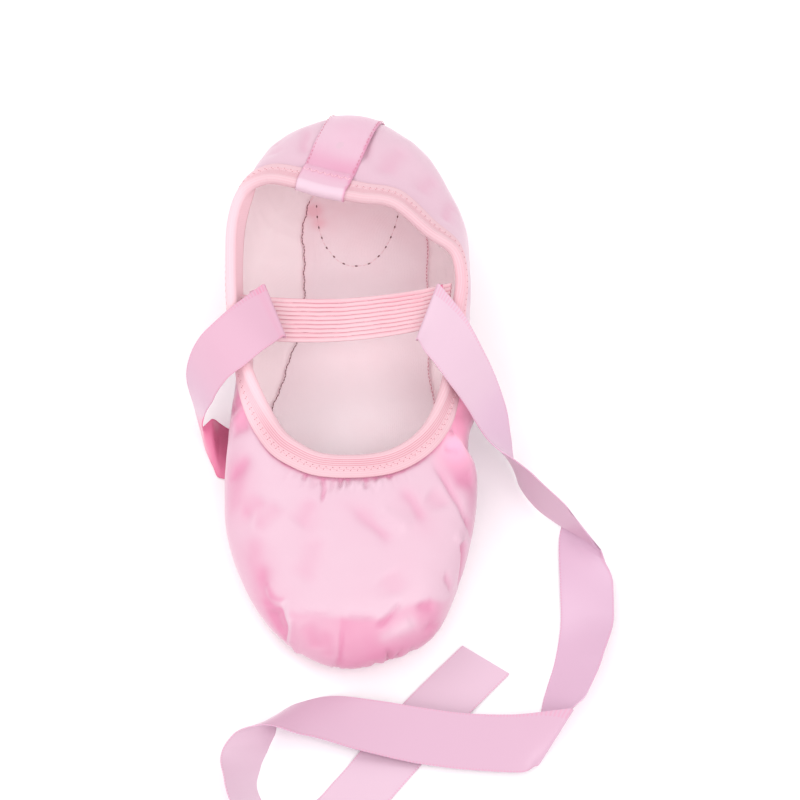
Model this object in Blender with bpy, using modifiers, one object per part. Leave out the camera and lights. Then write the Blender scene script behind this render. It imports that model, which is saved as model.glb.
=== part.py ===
"""A soft split-sole ballet flat with an elastic instep strap and two satin ribbons.

The empty shoe stands on its forefoot pad and its heel pad.  +Z is up, the toe points to -Y and the
origin lies on the floor under the middle of the shoe.  The tables and the functions work in
millimetres, and MM turns a finished mesh into metres.
"""
import math

import bmesh
import bpy
import numpy as np

MM = 0.001

# Driving dimensions, in millimetres
GAP = 0.3                # left between two pieces that touch
CURVED_GAP = 0.45        # and between two faceted pieces that are both curved
PAD_THICKNESS = 2.2      # suede sole pads, which lie on the floor
WALL = 1.4               # satin, interlining and cotton lining together
TURN_RADIUS = 9.0        # width of the round turn from the flat hem up to the widest point
TURN_SHARE = 1 / 3       # share of last_point's negative heights that is the flat hem
INSOLE_THICKNESS = 1.5
INSOLE_CLEARANCE = 0.5   # above the turned-in hem, which is faceted
ARCH_LIFT = 3.4          # how far the middle of the foot part stands up between the pads
ARCH_FRONT = -40.0
ARCH_BACK = 60.0
BINDING_THICKNESS = 0.9
BINDING_OUTER = 7.5      # height of the folded elastic outside the collar
BINDING_INNER = 6.5      # and inside it
BINDING_TURN = (0, 55, 125, 180)    # where its turn over the edge is faceted, in degrees
TAB_WIDTH = 19.0
TAB_LEAN = (1.5, -1.8)    # its middle, right of the heel section low down and at the collar
TAB_THICKNESS = 0.7
TAB_FOOT = -0.45         # where the tab starts low on the heel, in last_point's heights
TAB_HEM = 4.0            # how far the tab reaches down inside the collar
TAB_RISE = 4.0           # below the elastic the tab leaves the wall here
TAB_LAP = 0.6            # and here it lies on the elastic
STRAP_THICKNESS = 1.1
STRAP_SAG = 6.5
RIBBON_WIDTH = 20.0
RIBBON_THICKNESS = 0.5
FLOOR_GAP = 0.2          # a ribbon's lower edge lies this far above the floor
FOLD_STEP = 2.2          # steps of a ribbon's route shorter than this are its turn at a fold

# How finely the pieces are faceted
RING_COLUMNS = 84
UNDER_ROWS = 6
SIDE_ROWS = 11
STRAP_COLUMNS = 20
RIBBON_STEPS = 78
SHORTEST_STEP = 0.6      # in millimetres, except between stated lines of a ribbon
RIM_CROWDING = 1.3       # over 1, the upper's rows lie closer together near the collar
PAD_POINTS = 4           # between two points of a pad's outline
INSOLE_STEPS = 33
INSOLE_ACROSS = 5
TAB_STEPS = 13
TAB_ACROSS = 7

# The last, section by section round the shoe from the toe over the right side (+X) to the heel and
# back.  out: the widest point of the section.  rim: the top edge of the collar.  hem: the edge that
# is turned in under the foot.  rise and back: how stiffly the wall leaves the widest point upwards
# and reaches the rim.  pitch: the slope of the wall at the rim, 0 is level and 90 is upright.
LAST_COLUMNS = ("out_x", "out_y", "out_z", "rim_x", "rim_y", "rim_z", "hem_x", "hem_y",
                "rise", "back", "pitch")
LAST = [
    # toe
    (-2.0, -112.5, 11, 0.0, -43.1, 36.0, -1.0, -99.0, 18, 30, 6),
    (14.5, -109.4, 11, 7.0, -42.7, 36.0, 11.0, -96.0, 18, 29, 6),
    (29.2, -101.0, 12, 14.0, -41.2, 36.2, 20.0, -88.0, 18, 27, 8),
    (37.3, -85.4, 13, 20.8, -37.6, 36.6, 26.0, -75.0, 18, 23, 13),
    # right side of the ball
    (43.1, -65.0, 15, 26.7, -32.0, 37.2, 26.0, -60.0, 17, 18, 22),
    (45.8, -44.0, 17, 31.4, -24.2, 38.2, 14.0, -49.0, 15, 12, 40),
    # right waist
    (43.0, -23.0, 18, 35.0, -14.0, 39.6, 0.8, -36.0, 11, 9, 62),
    (43.0, -1.0, 19, 37.6, 0.0, 41.0, 0.8, -16.0, 9, 8, 74),
    (43.4, 22.0, 21, 39.0, 15.0, 42.5, 0.8, 6.0, 9, 8, 72),
    (44.1, 44.0, 22, 40.8, 28.5, 44.0, 0.8, 29.0, 10, 9, 76),
    # right of the heel
    (42.8, 63.5, 23, 38.2, 40.3, 46.0, 5.0, 59.0, 14, 11, 60),
    (36.4, 80.0, 23, 28.6, 47.9, 47.6, 14.0, 71.0, 19, 15, 42),
    (27.3, 96.0, 22, 16.0, 59.0, 49.8, 15.0, 86.0, 24, 17, 34),
    (15.4, 107.5, 21, 3.0, 60.4, 51.6, 11.0, 95.5, 28, 19, 28),
    # heel
    (2.5, 112.0, 21, -10.5, 62.6, 53.0, 2.0, 99.0, 30, 19, 24),
    (-12.3, 109.6, 21, -20.5, 65.2, 54.2, -8.0, 97.0, 29, 18, 24),
    # left of the heel
    (-25.5, 101.6, 22, -31.0, 66.0, 55.4, -14.0, 88.0, 23, 16, 26),
    (-35.1, 87.0, 23, -39.8, 59.8, 56.0, -14.0, 74.0, 20, 15, 34),
    (-41.7, 69.5, 25, -43.6, 48.0, 54.0, -6.0, 60.0, 16, 12, 64),
    (-45.7, 49.0, 25, -44.2, 33.0, 49.6, -0.8, 33.0, 12, 9, 82),
    # left waist
    (-45.4, 27.0, 23, -43.2, 15.0, 45.0, -0.8, 10.0, 10, 8, 85),
    (-41.8, 4.0, 20, -40.0, 0.0, 42.0, -0.8, -12.0, 9, 8, 80),
    (-43.9, -19.0, 18, -35.8, -13.0, 40.0, -0.8, -35.0, 11, 9, 70),
    # left side of the ball
    (-45.0, -42.0, 17, -29.5, -25.8, 38.4, -14.0, -49.0, 15, 12, 42),
    (-43.5, -63.5, 15, -23.7, -34.4, 37.2, -26.0, -60.0, 17, 18, 24),
    (-36.5, -83.2, 13, -17.0, -39.4, 36.6, -26.0, -75.0, 18, 23, 13),
    (-26.8, -98.4, 12, -11.5, -42.0, 36.2, -20.0, -88.0, 18, 27, 8),
    (-15.1, -107.8, 11, -6.0, -42.9, 36.0, -11.0, -96.0, 18, 29, 6),
]
HEEL_SECTION = 14        # the row of LAST that the back tab follows

# The long insole: its left and right edges at each place along the foot
INSOLE_COLUMNS = ("y", "left", "right")
INSOLE = [
    (-101.0, -6.0, 4.0),
    (-97.0, -14.0, 11.5),
    (-86.0, -26.0, 24.5),
    (-68.0, -32.0, 32.0),
    (-48.0, -33.5, 33.5),
    (-28.0, -32.5, 33.0),
    (-5.0, -29.0, 30.8),
    (15.0, -23.5, 28.8),
    (35.0, -19.2, 28.2),
    (55.0, -18.4, 28.6),
    (74.0, -19.4, 28.4),
    (88.0, -18.0, 22.0),
    (97.5, -10.5, 12.5),
    (99.5, -4.0, 7.0),
]

# Outlines of the two sole pads
FOREFOOT_PAD = [(-1, -103), (18, -98), (30, -84), (34.5, -66), (30, -49), (17, -39.5), (0, -36.5),
                (-17, -39.5), (-30, -49), (-34.5, -66), (-30, -84), (-18, -98)]
HEEL_PAD = [(3, 104), (17, 99), (23.5, 86), (21, 70), (12, 60), (1, 57),
            (-10, 60), (-18, 70), (-20, 86), (-12, 99)]

# The strap's front and back edges, each from the left wall to the right wall
STRAP_FRONT = ((-37.9, 4.6, 41.6), (35.1, 11.2, 41.2))
STRAP_BACK = ((-40.6, 22.6, 43.0), (36.6, 28.0, 42.2))

# Ribbon routes, a row for each place where a line across the ribbon is stated.  x, y, z: the middle
# of the line.  bearing and tip: which way it points in plan, and how far it is tipped up.  spread:
# its length beside the ribbon's width, more than 1 where it runs askew, as at a fold.
ROUTE_COLUMNS = ("x", "y", "z", "bearing", "tip", "spread")
RIBBON_RIGHT = [
    # from the wall to the fold over the strap
    (34.4, 16.6, 43.7, 96, 0, 1.0),
    (28.4, 14.3, 43.6, 71, 4, 1.2),
    (27.5, 14.0, 44.3, 71, 5, 1.2),
    (28.3, 13.8, 45.0, 71, 5, 1.2),
    # over the collar and down to the floor
    (34.6, 2.6, 46.4, 51, 2, 1.06),
    (43.2, -9.8, 40.2, 47, -14, 1.0),
    (49.8, -17.0, 27.4, 42, -33, 1.0),
    (53.6, -22.6, 17.6, 46, -48, 1.0),
    (56.8, -28.4, 12.6, 42, -68, 1.0),
    # on its edge
    (60.8, -34.2, 10.9, 30, -84, 1.0),
    (66.2, -41.0, 11.0, 0, -90, 1.0),
    (73.7, -50.9, 14.5, -21, -86, 0.96),
    # rolling over and lying down
    (79.9, -56.3, 15.5, -34, -60, 0.95),
    (83.8, -59.3, 14.3, -39, -38, 0.93),
    (83.6, -57.5, 6.2, -49, 9, 1.02),
    (83.5, -60.4, 3.3, -41, 13, 1.06),
    (84.6, -74.0, 3.6, -16, 12, 1.0),
    # running forwards
    (84.5, -87.6, 4.4, -14, 18, 1.0),
    (80.8, -107.2, 6.6, -17, 34, 1.0),
    (75.7, -122.4, 7.0, -7, 38, 0.96),
    # folded back over itself
    (71.3, -137.2, 6.0, 53, 28, 1.14),
    (72.0, -138.0, 6.7, 53, 28, 1.14),
    (70.95, -138.25, 7.4, 54.8, 28, 1.17),
    (58.9, -139.6, 5.4, 90, 16, 1.02),
    (42.4, -138.8, 5.0, 90, 13, 1.0),
    (26.1, -136.6, 5.0, 85, 12, 1.0),
    (6.1, -132.3, 5.0, 75, 0, 1.0),
    # rolling over again, round a loop
    (-12.4, -128.5, 4.3, 72, -18, 0.98),
    (-21.3, -129.0, 6.0, 66, -34, 0.95),
    (-27.3, -131.2, 7.5, 59, -45, 0.95),
    (-30.2, -133.6, 7.6, 41, -45, 0.96),
    (-32.8, -137.1, 7.1, 24, -40, 0.98),
    (-35.6, -142.3, 6.6, 20, -35, 0.98),
    (-37.1, -149.4, 7.4, 22, -43, 0.95),
    (-37.0, -155.4, 8.2, 30, -51, 0.95),
    (-34.5, -164.0, 8.2, 44, -50, 1.0),
    # and the tail, under the stretch before the loop
    (-28.5, -170.5, 7.2, 66, -42, 1.0),
    (-19.5, -172.8, 5.6, 88, -30, 1.0),
    (-8.5, -169.0, 3.6, 110, -16, 1.0),
    (2.0, -159.0, 1.6, 128, -4, 1.0),
    (11.5, -147.0, 0.7, 134, 0, 1.0),
    (26.0, -129.0, 0.7, 138, 0, 1.0),
    (48.3, -104.5, 0.7, 146, 0, 1.0),
]
RIBBON_LEFT = [
    # from the wall to the fold over the strap
    (-37.6, 12.6, 44.7, 84, 2, 1.0),
    (-28.0, 14.0, 44.4, 111, 5, 1.12),
    (-27.1, 14.0, 45.1, 111, 6, 1.12),
    (-28.0, 14.0, 45.8, 111, 6, 1.12),
    # over the collar and down outside it
    (-36.6, 5.2, 47.6, 129, 6, 1.03),
    (-45.2, -1.6, 44.6, 132, 4, 1.0),
    (-51.5, -4.8, 36.4, 132, -14, 1.0),
    (-54.4, -8.0, 27.0, 128, -30, 1.0),
    (-54.8, -12.4, 18.6, 112, -52, 1.0),
    (-53.6, -18.0, 10.2, 96, -80, 1.0),
    # lying down and turning in under the shoe
    (-50.8, -20.0, 9.6, 90, -115, 1.0),
    (-48.2, -20.6, 5.0, 90, -152, 1.0),
    (-40.0, -20.6, 1.0, 94, -180, 1.0),
]
RIBBON_LENGTH = 450.0
UNDER_LEFT = -34.0       # the hidden length lies in folds across the arch
UNDER_RIGHT = 31.0
UNDER_START = -20.4      # where the first of them lies along the shoe
UNDER_STEP = 10.6        # how far each fold moves back along the shoe
UNDER_LAYERS = (0.5, 1.5)
UNDER_BEARINGS = {1: 94, -1: 86}    # of the lines across it on its way right and left
UNDER_TURN = 0.8         # how far a fold's edge stands out past its layers
UNDER_DRIFT = (0.1, 0.2)            # of a fold along the shoe, to its edge and to its second layer
UNDER_FOLD_LENGTH = 2.0  # of the ribbon in a fold


def named(table, columns):
    """The table's columns as a dictionary of arrays."""
    return {name: np.array(values, float) for name, values in zip(columns, zip(*table))}


def smoothstep(value):
    value = np.clip(value, 0.0, 1.0)
    return value * value * (3.0 - 2.0 * value)


def arch(y):
    """How far the shoe's underside stands above the level of the pads at a place along the foot."""
    share = (np.asarray(y, float) - ARCH_FRONT) / (ARCH_BACK - ARCH_FRONT)
    return ARCH_LIFT * smoothstep(4.0 * share) * smoothstep(4.0 * (1.0 - share))


def around(values, place):
    """Smooth closed curve through evenly spaced values, read at a place counted in rows."""
    count = len(values)
    first = np.floor(place).astype(int)
    t = place - first
    a, b, c, d = (values[(first + shift) % count] for shift in (-1, 0, 1, 2))
    return 0.5 * (2 * b + (c - a) * t + (2 * a - 5 * b + 4 * c - d) * t ** 2
                  + (3 * b - a - 3 * c + d) * t ** 3)


def along(stations, values, place, turn=0.0):
    """Smooth open curve through values at rising stations, which never overshoots a value.

    Beside a step shorter than turn, where a ribbon folds, it keeps the slope of the longer step.
    """
    step = np.diff(stations)
    slope = np.diff(values) / step
    tangent = np.zeros(len(values))
    for i in range(1, len(values) - 1):
        before, after = slope[i - 1], slope[i]
        if (step[i - 1] < turn) != (step[i] < turn):
            tangent[i] = after if step[i - 1] < turn else before
        elif before * after > 0:
            weights = (2 * step[i] + step[i - 1], step[i] + 2 * step[i - 1])
            tangent[i] = sum(weights) / (weights[0] / before + weights[1] / after)
    tangent[0], tangent[-1] = slope[0], slope[-1]
    i = np.clip(np.searchsorted(stations, place, side="right") - 1, 0, len(step) - 1)
    t = (place - stations[i]) / step[i]
    return ((1 + 2 * t) * (1 - t) ** 2 * values[i] + t * (1 - t) ** 2 * step[i] * tangent[i]
            + t * t * (3 - 2 * t) * values[i + 1] + t * t * (t - 1) * step[i] * tangent[i + 1])


def bezier(points, t):
    a, b, c, d = points
    return a * (1 - t) ** 3 + 3 * b * t * (1 - t) ** 2 + 3 * c * t * t * (1 - t) + d * t ** 3


LAST_VALUES = named(LAST, LAST_COLUMNS)
HEM_LEVEL = PAD_THICKNESS + GAP


def last_point(place, height):
    """A point of the upper's outer face.

    place counts rows of LAST round the shoe.  height is -1 at the hem under the foot, 0 at the
    widest point and 1 at the collar's edge.
    """
    at = {name: around(values, place) for name, values in LAST_VALUES.items()}
    out = np.array([at["out_x"], at["out_y"], at["out_z"]])
    if height < 0:
        hem = np.array([at["hem_x"], at["hem_y"], 0.0])
        outward = (out - hem) * (1.0, 1.0, 0.0)
        reach = np.linalg.norm(outward)
        corner = hem + outward * (1.0 - TURN_RADIUS / reach)
        t = (1.0 + height - TURN_SHARE) / (1.0 - TURN_SHARE)
        if t < 0:
            flat = hem + (corner - hem) * (1.0 + height) / TURN_SHARE
            return np.array([flat[0], flat[1], HEM_LEVEL + arch(flat[1])])
        base = HEM_LEVEL + arch(corner[1])
        turned = corner + (out - corner) * math.sin(t * math.pi / 2)
        return np.array([turned[0], turned[1], out[2] - (out[2] - base) * math.cos(t * math.pi / 2)])
    rim = np.array([at["rim_x"], at["rim_y"], at["rim_z"]])
    inward = (rim - out) * (1.0, 1.0, 0.0)
    inward = inward / max(np.linalg.norm(inward), 1e-6)
    pitch = math.radians(at["pitch"])
    lean = inward * math.cos(pitch) + np.array([0.0, 0.0, math.sin(pitch)])
    upright = np.array([0.0, 0.0, at["rise"]])
    return bezier((out, out + upright, rim - at["back"] * lean, rim), height)


def last_frame(place, height):
    """The point, the outward normal and the direction towards the collar."""
    step = 0.01
    low, high = max(height - step, -1.0), min(height + step, 1.0)
    up = last_point(place, high) - last_point(place, low)
    ahead = last_point(place + step, height) - last_point(place - step, height)
    normal = np.cross(ahead, up)
    return last_point(place, height), normal / np.linalg.norm(normal), up / np.linalg.norm(up)


def height_below_rim(place, distance):
    """The height whose point lies a distance below the collar's edge, along the wall."""
    steps = np.linspace(1.0, 0.0, 41)
    points = np.array([last_point(place, step) for step in steps])
    run = np.concatenate(([0.0], np.cumsum(np.linalg.norm(np.diff(points, axis=0), axis=1))))
    return float(np.interp(distance, run, steps))


def beside_heel(height, across):
    """The place on the last a distance to one side of the leaning tab's middle, at one height."""
    step = last_point(HEEL_SECTION + 0.5, height) - last_point(HEEL_SECTION - 0.5, height)
    lean = TAB_LEAN[0] + (TAB_LEAN[1] - TAB_LEAN[0]) * max(height, 0.0)
    return HEEL_SECTION - (across + lean) / np.linalg.norm(step)


def material(name, colour, roughness):
    made = bpy.data.materials.new(name)
    made.use_nodes = True
    shader = made.node_tree.nodes["Principled BSDF"]
    shader.inputs["Base Color"].default_value = (*colour, 1.0)
    shader.inputs["Roughness"].default_value = roughness
    shader.inputs["Metallic"].default_value = 0.0
    return made


def grid_object(name, rows, finish, thickness, offset, closed_rows=False):
    """A sheet through rows of points, thickened by a Solidify modifier.

    offset is -1 where the sheet is the outer face, and 0 where it is the middle of the piece.
    """
    shape = bmesh.new()
    made = [[shape.verts.new([value * MM for value in point]) for point in row] for row in rows]
    length = len(made[0])
    spans = length if closed_rows else length - 1
    for lower, upper in zip(made, made[1:]):
        for i in range(spans):
            j = (i + 1) % length
            shape.faces.new((lower[i], lower[j], upper[j], upper[i]))
    mesh = bpy.data.meshes.new(name)
    shape.to_mesh(mesh)
    shape.free()
    mesh.shade_smooth()
    piece = bpy.data.objects.new(name, mesh)
    mesh.materials.append(finish)
    shell = piece.modifiers.new("Thickness", "SOLIDIFY")
    shell.thickness = thickness * MM
    shell.offset = offset
    shell.use_even_offset = True
    shell.use_quality_normals = True
    return piece


def flat_pad(name, outline, finish):
    """A pad cut from sheet suede: a smooth closed outline, as thick as the sole."""
    places = np.linspace(0.0, len(outline), PAD_POINTS * len(outline), endpoint=False)
    corners = np.array(outline, float)
    curve = bpy.data.curves.new(name, "CURVE")
    curve.dimensions = "2D"
    curve.fill_mode = "BOTH"
    curve.extrude = PAD_THICKNESS / 2 * MM
    spline = curve.splines.new("POLY")
    spline.points.add(len(places) - 1)
    for point, place in zip(spline.points, places):
        x, y = around(corners, place)
        point.co = (x * MM, y * MM, 0.0, 1.0)
    spline.use_cyclic_u = True
    piece = bpy.data.objects.new(name, curve)
    piece.location = (0.0, 0.0, PAD_THICKNESS / 2 * MM)
    curve.materials.append(finish)
    weld = piece.modifiers.new("Weld", "WELD")
    weld.merge_threshold = 0.00001
    return piece


def upper(finish):
    places = np.linspace(0.0, len(LAST), RING_COLUMNS, endpoint=False)
    under = np.linspace(-1.0, 0.0, UNDER_ROWS, endpoint=False)
    side = 1.0 - np.linspace(1.0, 0.0, SIDE_ROWS) ** RIM_CROWDING
    rows = [[last_point(place, height) for place in places]
            for height in np.concatenate((under, side))]
    return grid_object("upper", rows, finish, WALL, -1.0, closed_rows=True)


def insole(finish):
    at = named(INSOLE, INSOLE_COLUMNS)
    share = 0.5 * (1 - np.cos(np.linspace(0, math.pi, INSOLE_STEPS)))
    lengths = at["y"][0] + (at["y"][-1] - at["y"][0]) * share
    level = HEM_LEVEL + WALL + INSOLE_CLEARANCE + INSOLE_THICKNESS / 2
    rows = []
    for y in lengths:
        left = along(at["y"], at["left"], y)
        right = along(at["y"], at["right"], y)
        rows.append([(x, y, level + arch(y)) for x in np.linspace(left, right, INSOLE_ACROSS)])
    return grid_object("insole", rows, finish, INSOLE_THICKNESS, 0.0)


def collar_binding(finish):
    """Elastic folded over the collar's edge: outer leg, turn and inner leg."""
    outer = CURVED_GAP + BINDING_THICKNESS / 2
    inner = WALL + outer
    turn = (outer + inner) / 2
    sections = []
    for place in np.linspace(0.0, len(LAST), RING_COLUMNS, endpoint=False):
        legs = []
        for reach, shift in ((BINDING_OUTER, outer), (BINDING_OUTER / 2, outer),
                             (BINDING_INNER / 2, -inner), (BINDING_INNER, -inner)):
            point, normal, _ = last_frame(place, height_below_rim(place, reach))
            legs.append(point + shift * normal)
        rim, normal, up = last_frame(place, 1.0)
        middle = rim - (WALL / 2) * normal
        bend = [middle + turn * (math.cos(angle) * normal + math.sin(angle) * up)
                for angle in np.radians(BINDING_TURN)]
        sections.append(legs[:2] + bend + legs[2:])
    rows = list(zip(*sections))
    return grid_object("collar_binding", rows, finish, BINDING_THICKNESS, 0.0, closed_rows=True)


def back_tab(finish):
    """Satin strip that runs up the heel, folds over the binding and ends inside the collar."""
    on_wall = CURVED_GAP + TAB_THICKNESS / 2
    on_binding = 2 * CURVED_GAP + BINDING_THICKNESS + TAB_THICKNESS / 2
    inside = WALL + on_binding
    turn = (on_binding + inside) / 2
    reaches = (BINDING_OUTER + TAB_LAP, BINDING_OUTER * 0.6, BINDING_OUTER * 0.3, 0.0)
    clear = height_below_rim(HEEL_SECTION, BINDING_OUTER + TAB_RISE)
    sections = []
    for across in np.linspace(-TAB_WIDTH / 2, TAB_WIDTH / 2, TAB_ACROSS):
        steps = [(height, on_wall) for height in np.linspace(TAB_FOOT, clear, TAB_STEPS)]
        steps += [(height_below_rim(HEEL_SECTION, reach), on_binding) for reach in reaches]
        column = []
        for height, offset in steps:
            point, normal, up = last_frame(beside_heel(height, across), height)
            column.append(point + offset * normal)
        middle = point - (WALL / 2) * normal
        for angle in np.radians(BINDING_TURN[1:]):
            column.append(middle + turn * (math.cos(angle) * normal + math.sin(angle) * up))
        height = height_below_rim(HEEL_SECTION, TAB_HEM)
        low, low_normal, _ = last_frame(beside_heel(height, across), height)
        column.append(low - inside * low_normal)
        sections.append(column)
    return grid_object("back_tab", sections, finish, TAB_THICKNESS, 0.0)


def instep_strap(finish):
    """Elastic that hangs in a shallow curve between the walls."""
    edges = []
    for start, end in np.array((STRAP_FRONT, STRAP_BACK), float):
        share = np.linspace(0.0, 1.0, STRAP_COLUMNS + 1)[:, None]
        sag = np.array([0.0, 0.0, STRAP_SAG]) * 4 * share * (1 - share)
        edges.append(start + share * (end - start) - sag)
    return grid_object("instep_strap", np.array(edges), finish, STRAP_THICKNESS, 0.0)


def under_the_arch(used):
    """Rows for the ribbon's hidden length: passes across the arch, each folded back on the next."""
    rows = []
    left = RIBBON_LENGTH - used
    x, y = UNDER_LEFT, UNDER_START
    heading, layer = 1, 0
    while left > 1.0:
        end = UNDER_RIGHT if heading > 0 else UNDER_LEFT
        run = min(abs(end - x), left)
        drift = UNDER_STEP * run / (UNDER_RIGHT - UNDER_LEFT)
        bearing = UNDER_BEARINGS[heading]
        x += heading * run
        y += drift
        left -= math.hypot(run, drift)
        rows.append((x, y, UNDER_LAYERS[layer], bearing, -180, 1))
        if left > 1.0:
            middle = sum(UNDER_LAYERS) / 2
            rows.append((x + heading * UNDER_TURN, y + UNDER_DRIFT[0], middle, 90, -180, 1))
            layer = 1 - layer
            rows.append((x, y + UNDER_DRIFT[1], UNDER_LAYERS[layer], bearing, -180, 1))
            left -= UNDER_FOLD_LENGTH
        heading = -heading
    return rows


def route_length(rows):
    points = np.array([row[:3] for row in rows], float)
    return float(np.linalg.norm(np.diff(points, axis=0), axis=1).sum())


def ribbon(name, route, finish):
    """A flat satin ribbon: its two edges run beside a smooth route."""
    at = named(route, ROUTE_COLUMNS)
    points = np.array([at["x"], at["y"], at["z"]]).T
    stations = np.concatenate(([0.0], np.cumsum(np.linalg.norm(np.diff(points, axis=0), axis=1))))
    stated = stations.round(2)
    places = sorted({*np.linspace(0.0, stations[-1], RIBBON_STEPS).round(2), *stated})
    places = [place for place, before in zip(places, [-math.inf] + places)
              if place - before > SHORTEST_STEP or place in stated]
    places = np.clip(places, 0.0, stations[-1])
    middle = np.array([along(stations, at[axis], places, FOLD_STEP) for axis in "xyz"]).T
    bearing, tip = np.radians(at["bearing"]), np.radians(at["tip"])
    across = at["spread"] * RIBBON_WIDTH / 2 * np.array(
        [np.cos(tip) * np.cos(bearing), np.cos(tip) * np.sin(bearing), np.sin(tip)])
    half = np.array([along(stations, values, places, FOLD_STEP) for values in across]).T
    middle[:, 2] = np.maximum(middle[:, 2], np.abs(half[:, 2]) + RIBBON_THICKNESS / 2 + FLOOR_GAP)
    rows = [[m - h, m + h] for m, h in zip(middle, half)]
    return grid_object(name, rows, finish, RIBBON_THICKNESS, 0.0)


def main():
    for old in list(bpy.data.objects):
        bpy.data.objects.remove(old, do_unlink=True)
    shoe = bpy.data.collections.new("ballet_flat")
    bpy.context.scene.collection.children.link(shoe)
    satin = material("satin", (0.93, 0.62, 0.74), 0.35)
    suede = material("suede", (0.80, 0.62, 0.62), 0.9)
    board = material("insole_board", (0.82, 0.70, 0.71), 0.85)
    elastic = material("elastic", (0.96, 0.56, 0.62), 0.7)
    band = material("ribbon_satin", (0.90, 0.58, 0.74), 0.35)
    tab = material("tab_satin", (0.93, 0.56, 0.70), 0.35)
    strap = material("strap_elastic", (0.96, 0.52, 0.58), 0.7)
    heel_suede = material("heel_suede", (0.80, 0.62, 0.62), 0.9)
    band_left = material("ribbon_satin_left", (0.90, 0.58, 0.74), 0.35)
    left_route = RIBBON_LEFT + under_the_arch(route_length(RIBBON_LEFT))
    for piece in (
        flat_pad("sole_forefoot", FOREFOOT_PAD, suede),
        flat_pad("sole_heel", HEEL_PAD, heel_suede),
        upper(satin),
        insole(board),
        collar_binding(elastic),
        back_tab(tab),
        instep_strap(strap),
        ribbon("ribbon_right", RIBBON_RIGHT, band),
        ribbon("ribbon_left", left_route, band_left),
    ):
        shoe.objects.link(piece)


main()
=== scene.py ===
"""A satin ballet flat with an elastic instep strap and two satin ribbons, with its finishes.

The empty shoe stands where the model's frame puts it: +Z is up, the toe points to -Y, and the
origin lies on the floor under the middle of the shoe.  Sizes and places are in metres.  A place on
the shoe is counted in rows of LAST, from the toe over the right side to the heel and back, and a
height there runs from the hem under the foot (-1) over the widest point (0) to the collar (1).
"""

import math

import bpy
import numpy as np
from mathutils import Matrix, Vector, noise


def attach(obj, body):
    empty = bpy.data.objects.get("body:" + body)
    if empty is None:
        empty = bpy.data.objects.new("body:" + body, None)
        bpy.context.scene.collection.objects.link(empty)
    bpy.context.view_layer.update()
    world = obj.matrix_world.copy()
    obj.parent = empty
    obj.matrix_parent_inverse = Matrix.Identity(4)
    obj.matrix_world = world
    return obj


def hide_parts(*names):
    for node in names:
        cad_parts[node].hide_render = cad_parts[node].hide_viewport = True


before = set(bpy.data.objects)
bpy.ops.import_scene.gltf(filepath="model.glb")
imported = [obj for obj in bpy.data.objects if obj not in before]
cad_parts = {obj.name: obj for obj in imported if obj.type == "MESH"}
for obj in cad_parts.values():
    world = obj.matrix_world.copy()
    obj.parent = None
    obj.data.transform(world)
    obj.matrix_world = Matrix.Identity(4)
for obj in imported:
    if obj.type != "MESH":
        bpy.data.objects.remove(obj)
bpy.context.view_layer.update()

# The view and the lights
ELEVATION = math.radians(58)
AIM = Vector((0.0179, -0.00503, 0.015))
DISTANCE = 1.25
FOCAL_LENGTH = 153.8
WORLD_LIGHT, KEY_LIGHT, TOP_LIGHT, FRONT_LIGHT = 0.96, 5.6, 3.7, 3.8
FLOOR_GLOW = 0.08

# Sizes shared with the model
PAD_THICKNESS = 0.0022
HEM_LEVEL = 0.0025
TURN_RADIUS = 0.009
TURN_SHARE = 1 / 3
WALL = 0.0014
ARCH_LIFT = 0.0034
ARCH_FRONT, ARCH_BACK = -0.040, 0.060
INSOLE_TOP = 0.0059
INSOLE_THICKNESS = 0.0015
BINDING_OUTER, BINDING_INNER = 0.0075, 0.0065
BINDING_THICKNESS = 0.0009
BINDING_STAND = 0.0009       # how far the middle of the elastic stands off the wall
TAB_WIDTH = 0.019
TAB_LEAN = (0.0015, -0.0018)
TAB_FOOT = -0.45
TAB_HEM = 0.004
HEEL_SECTION = 14
STRAP_SAG = 0.0065
RIBBON_WIDTH = 0.020
RIBBON_LENGTH = 0.450
RIBBON_THICKNESS = 0.0004
MODEL_THICKNESS = 0.0005     # of the ribbon that the routes were laid for
FLOOR_GAP = 0.0002

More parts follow.
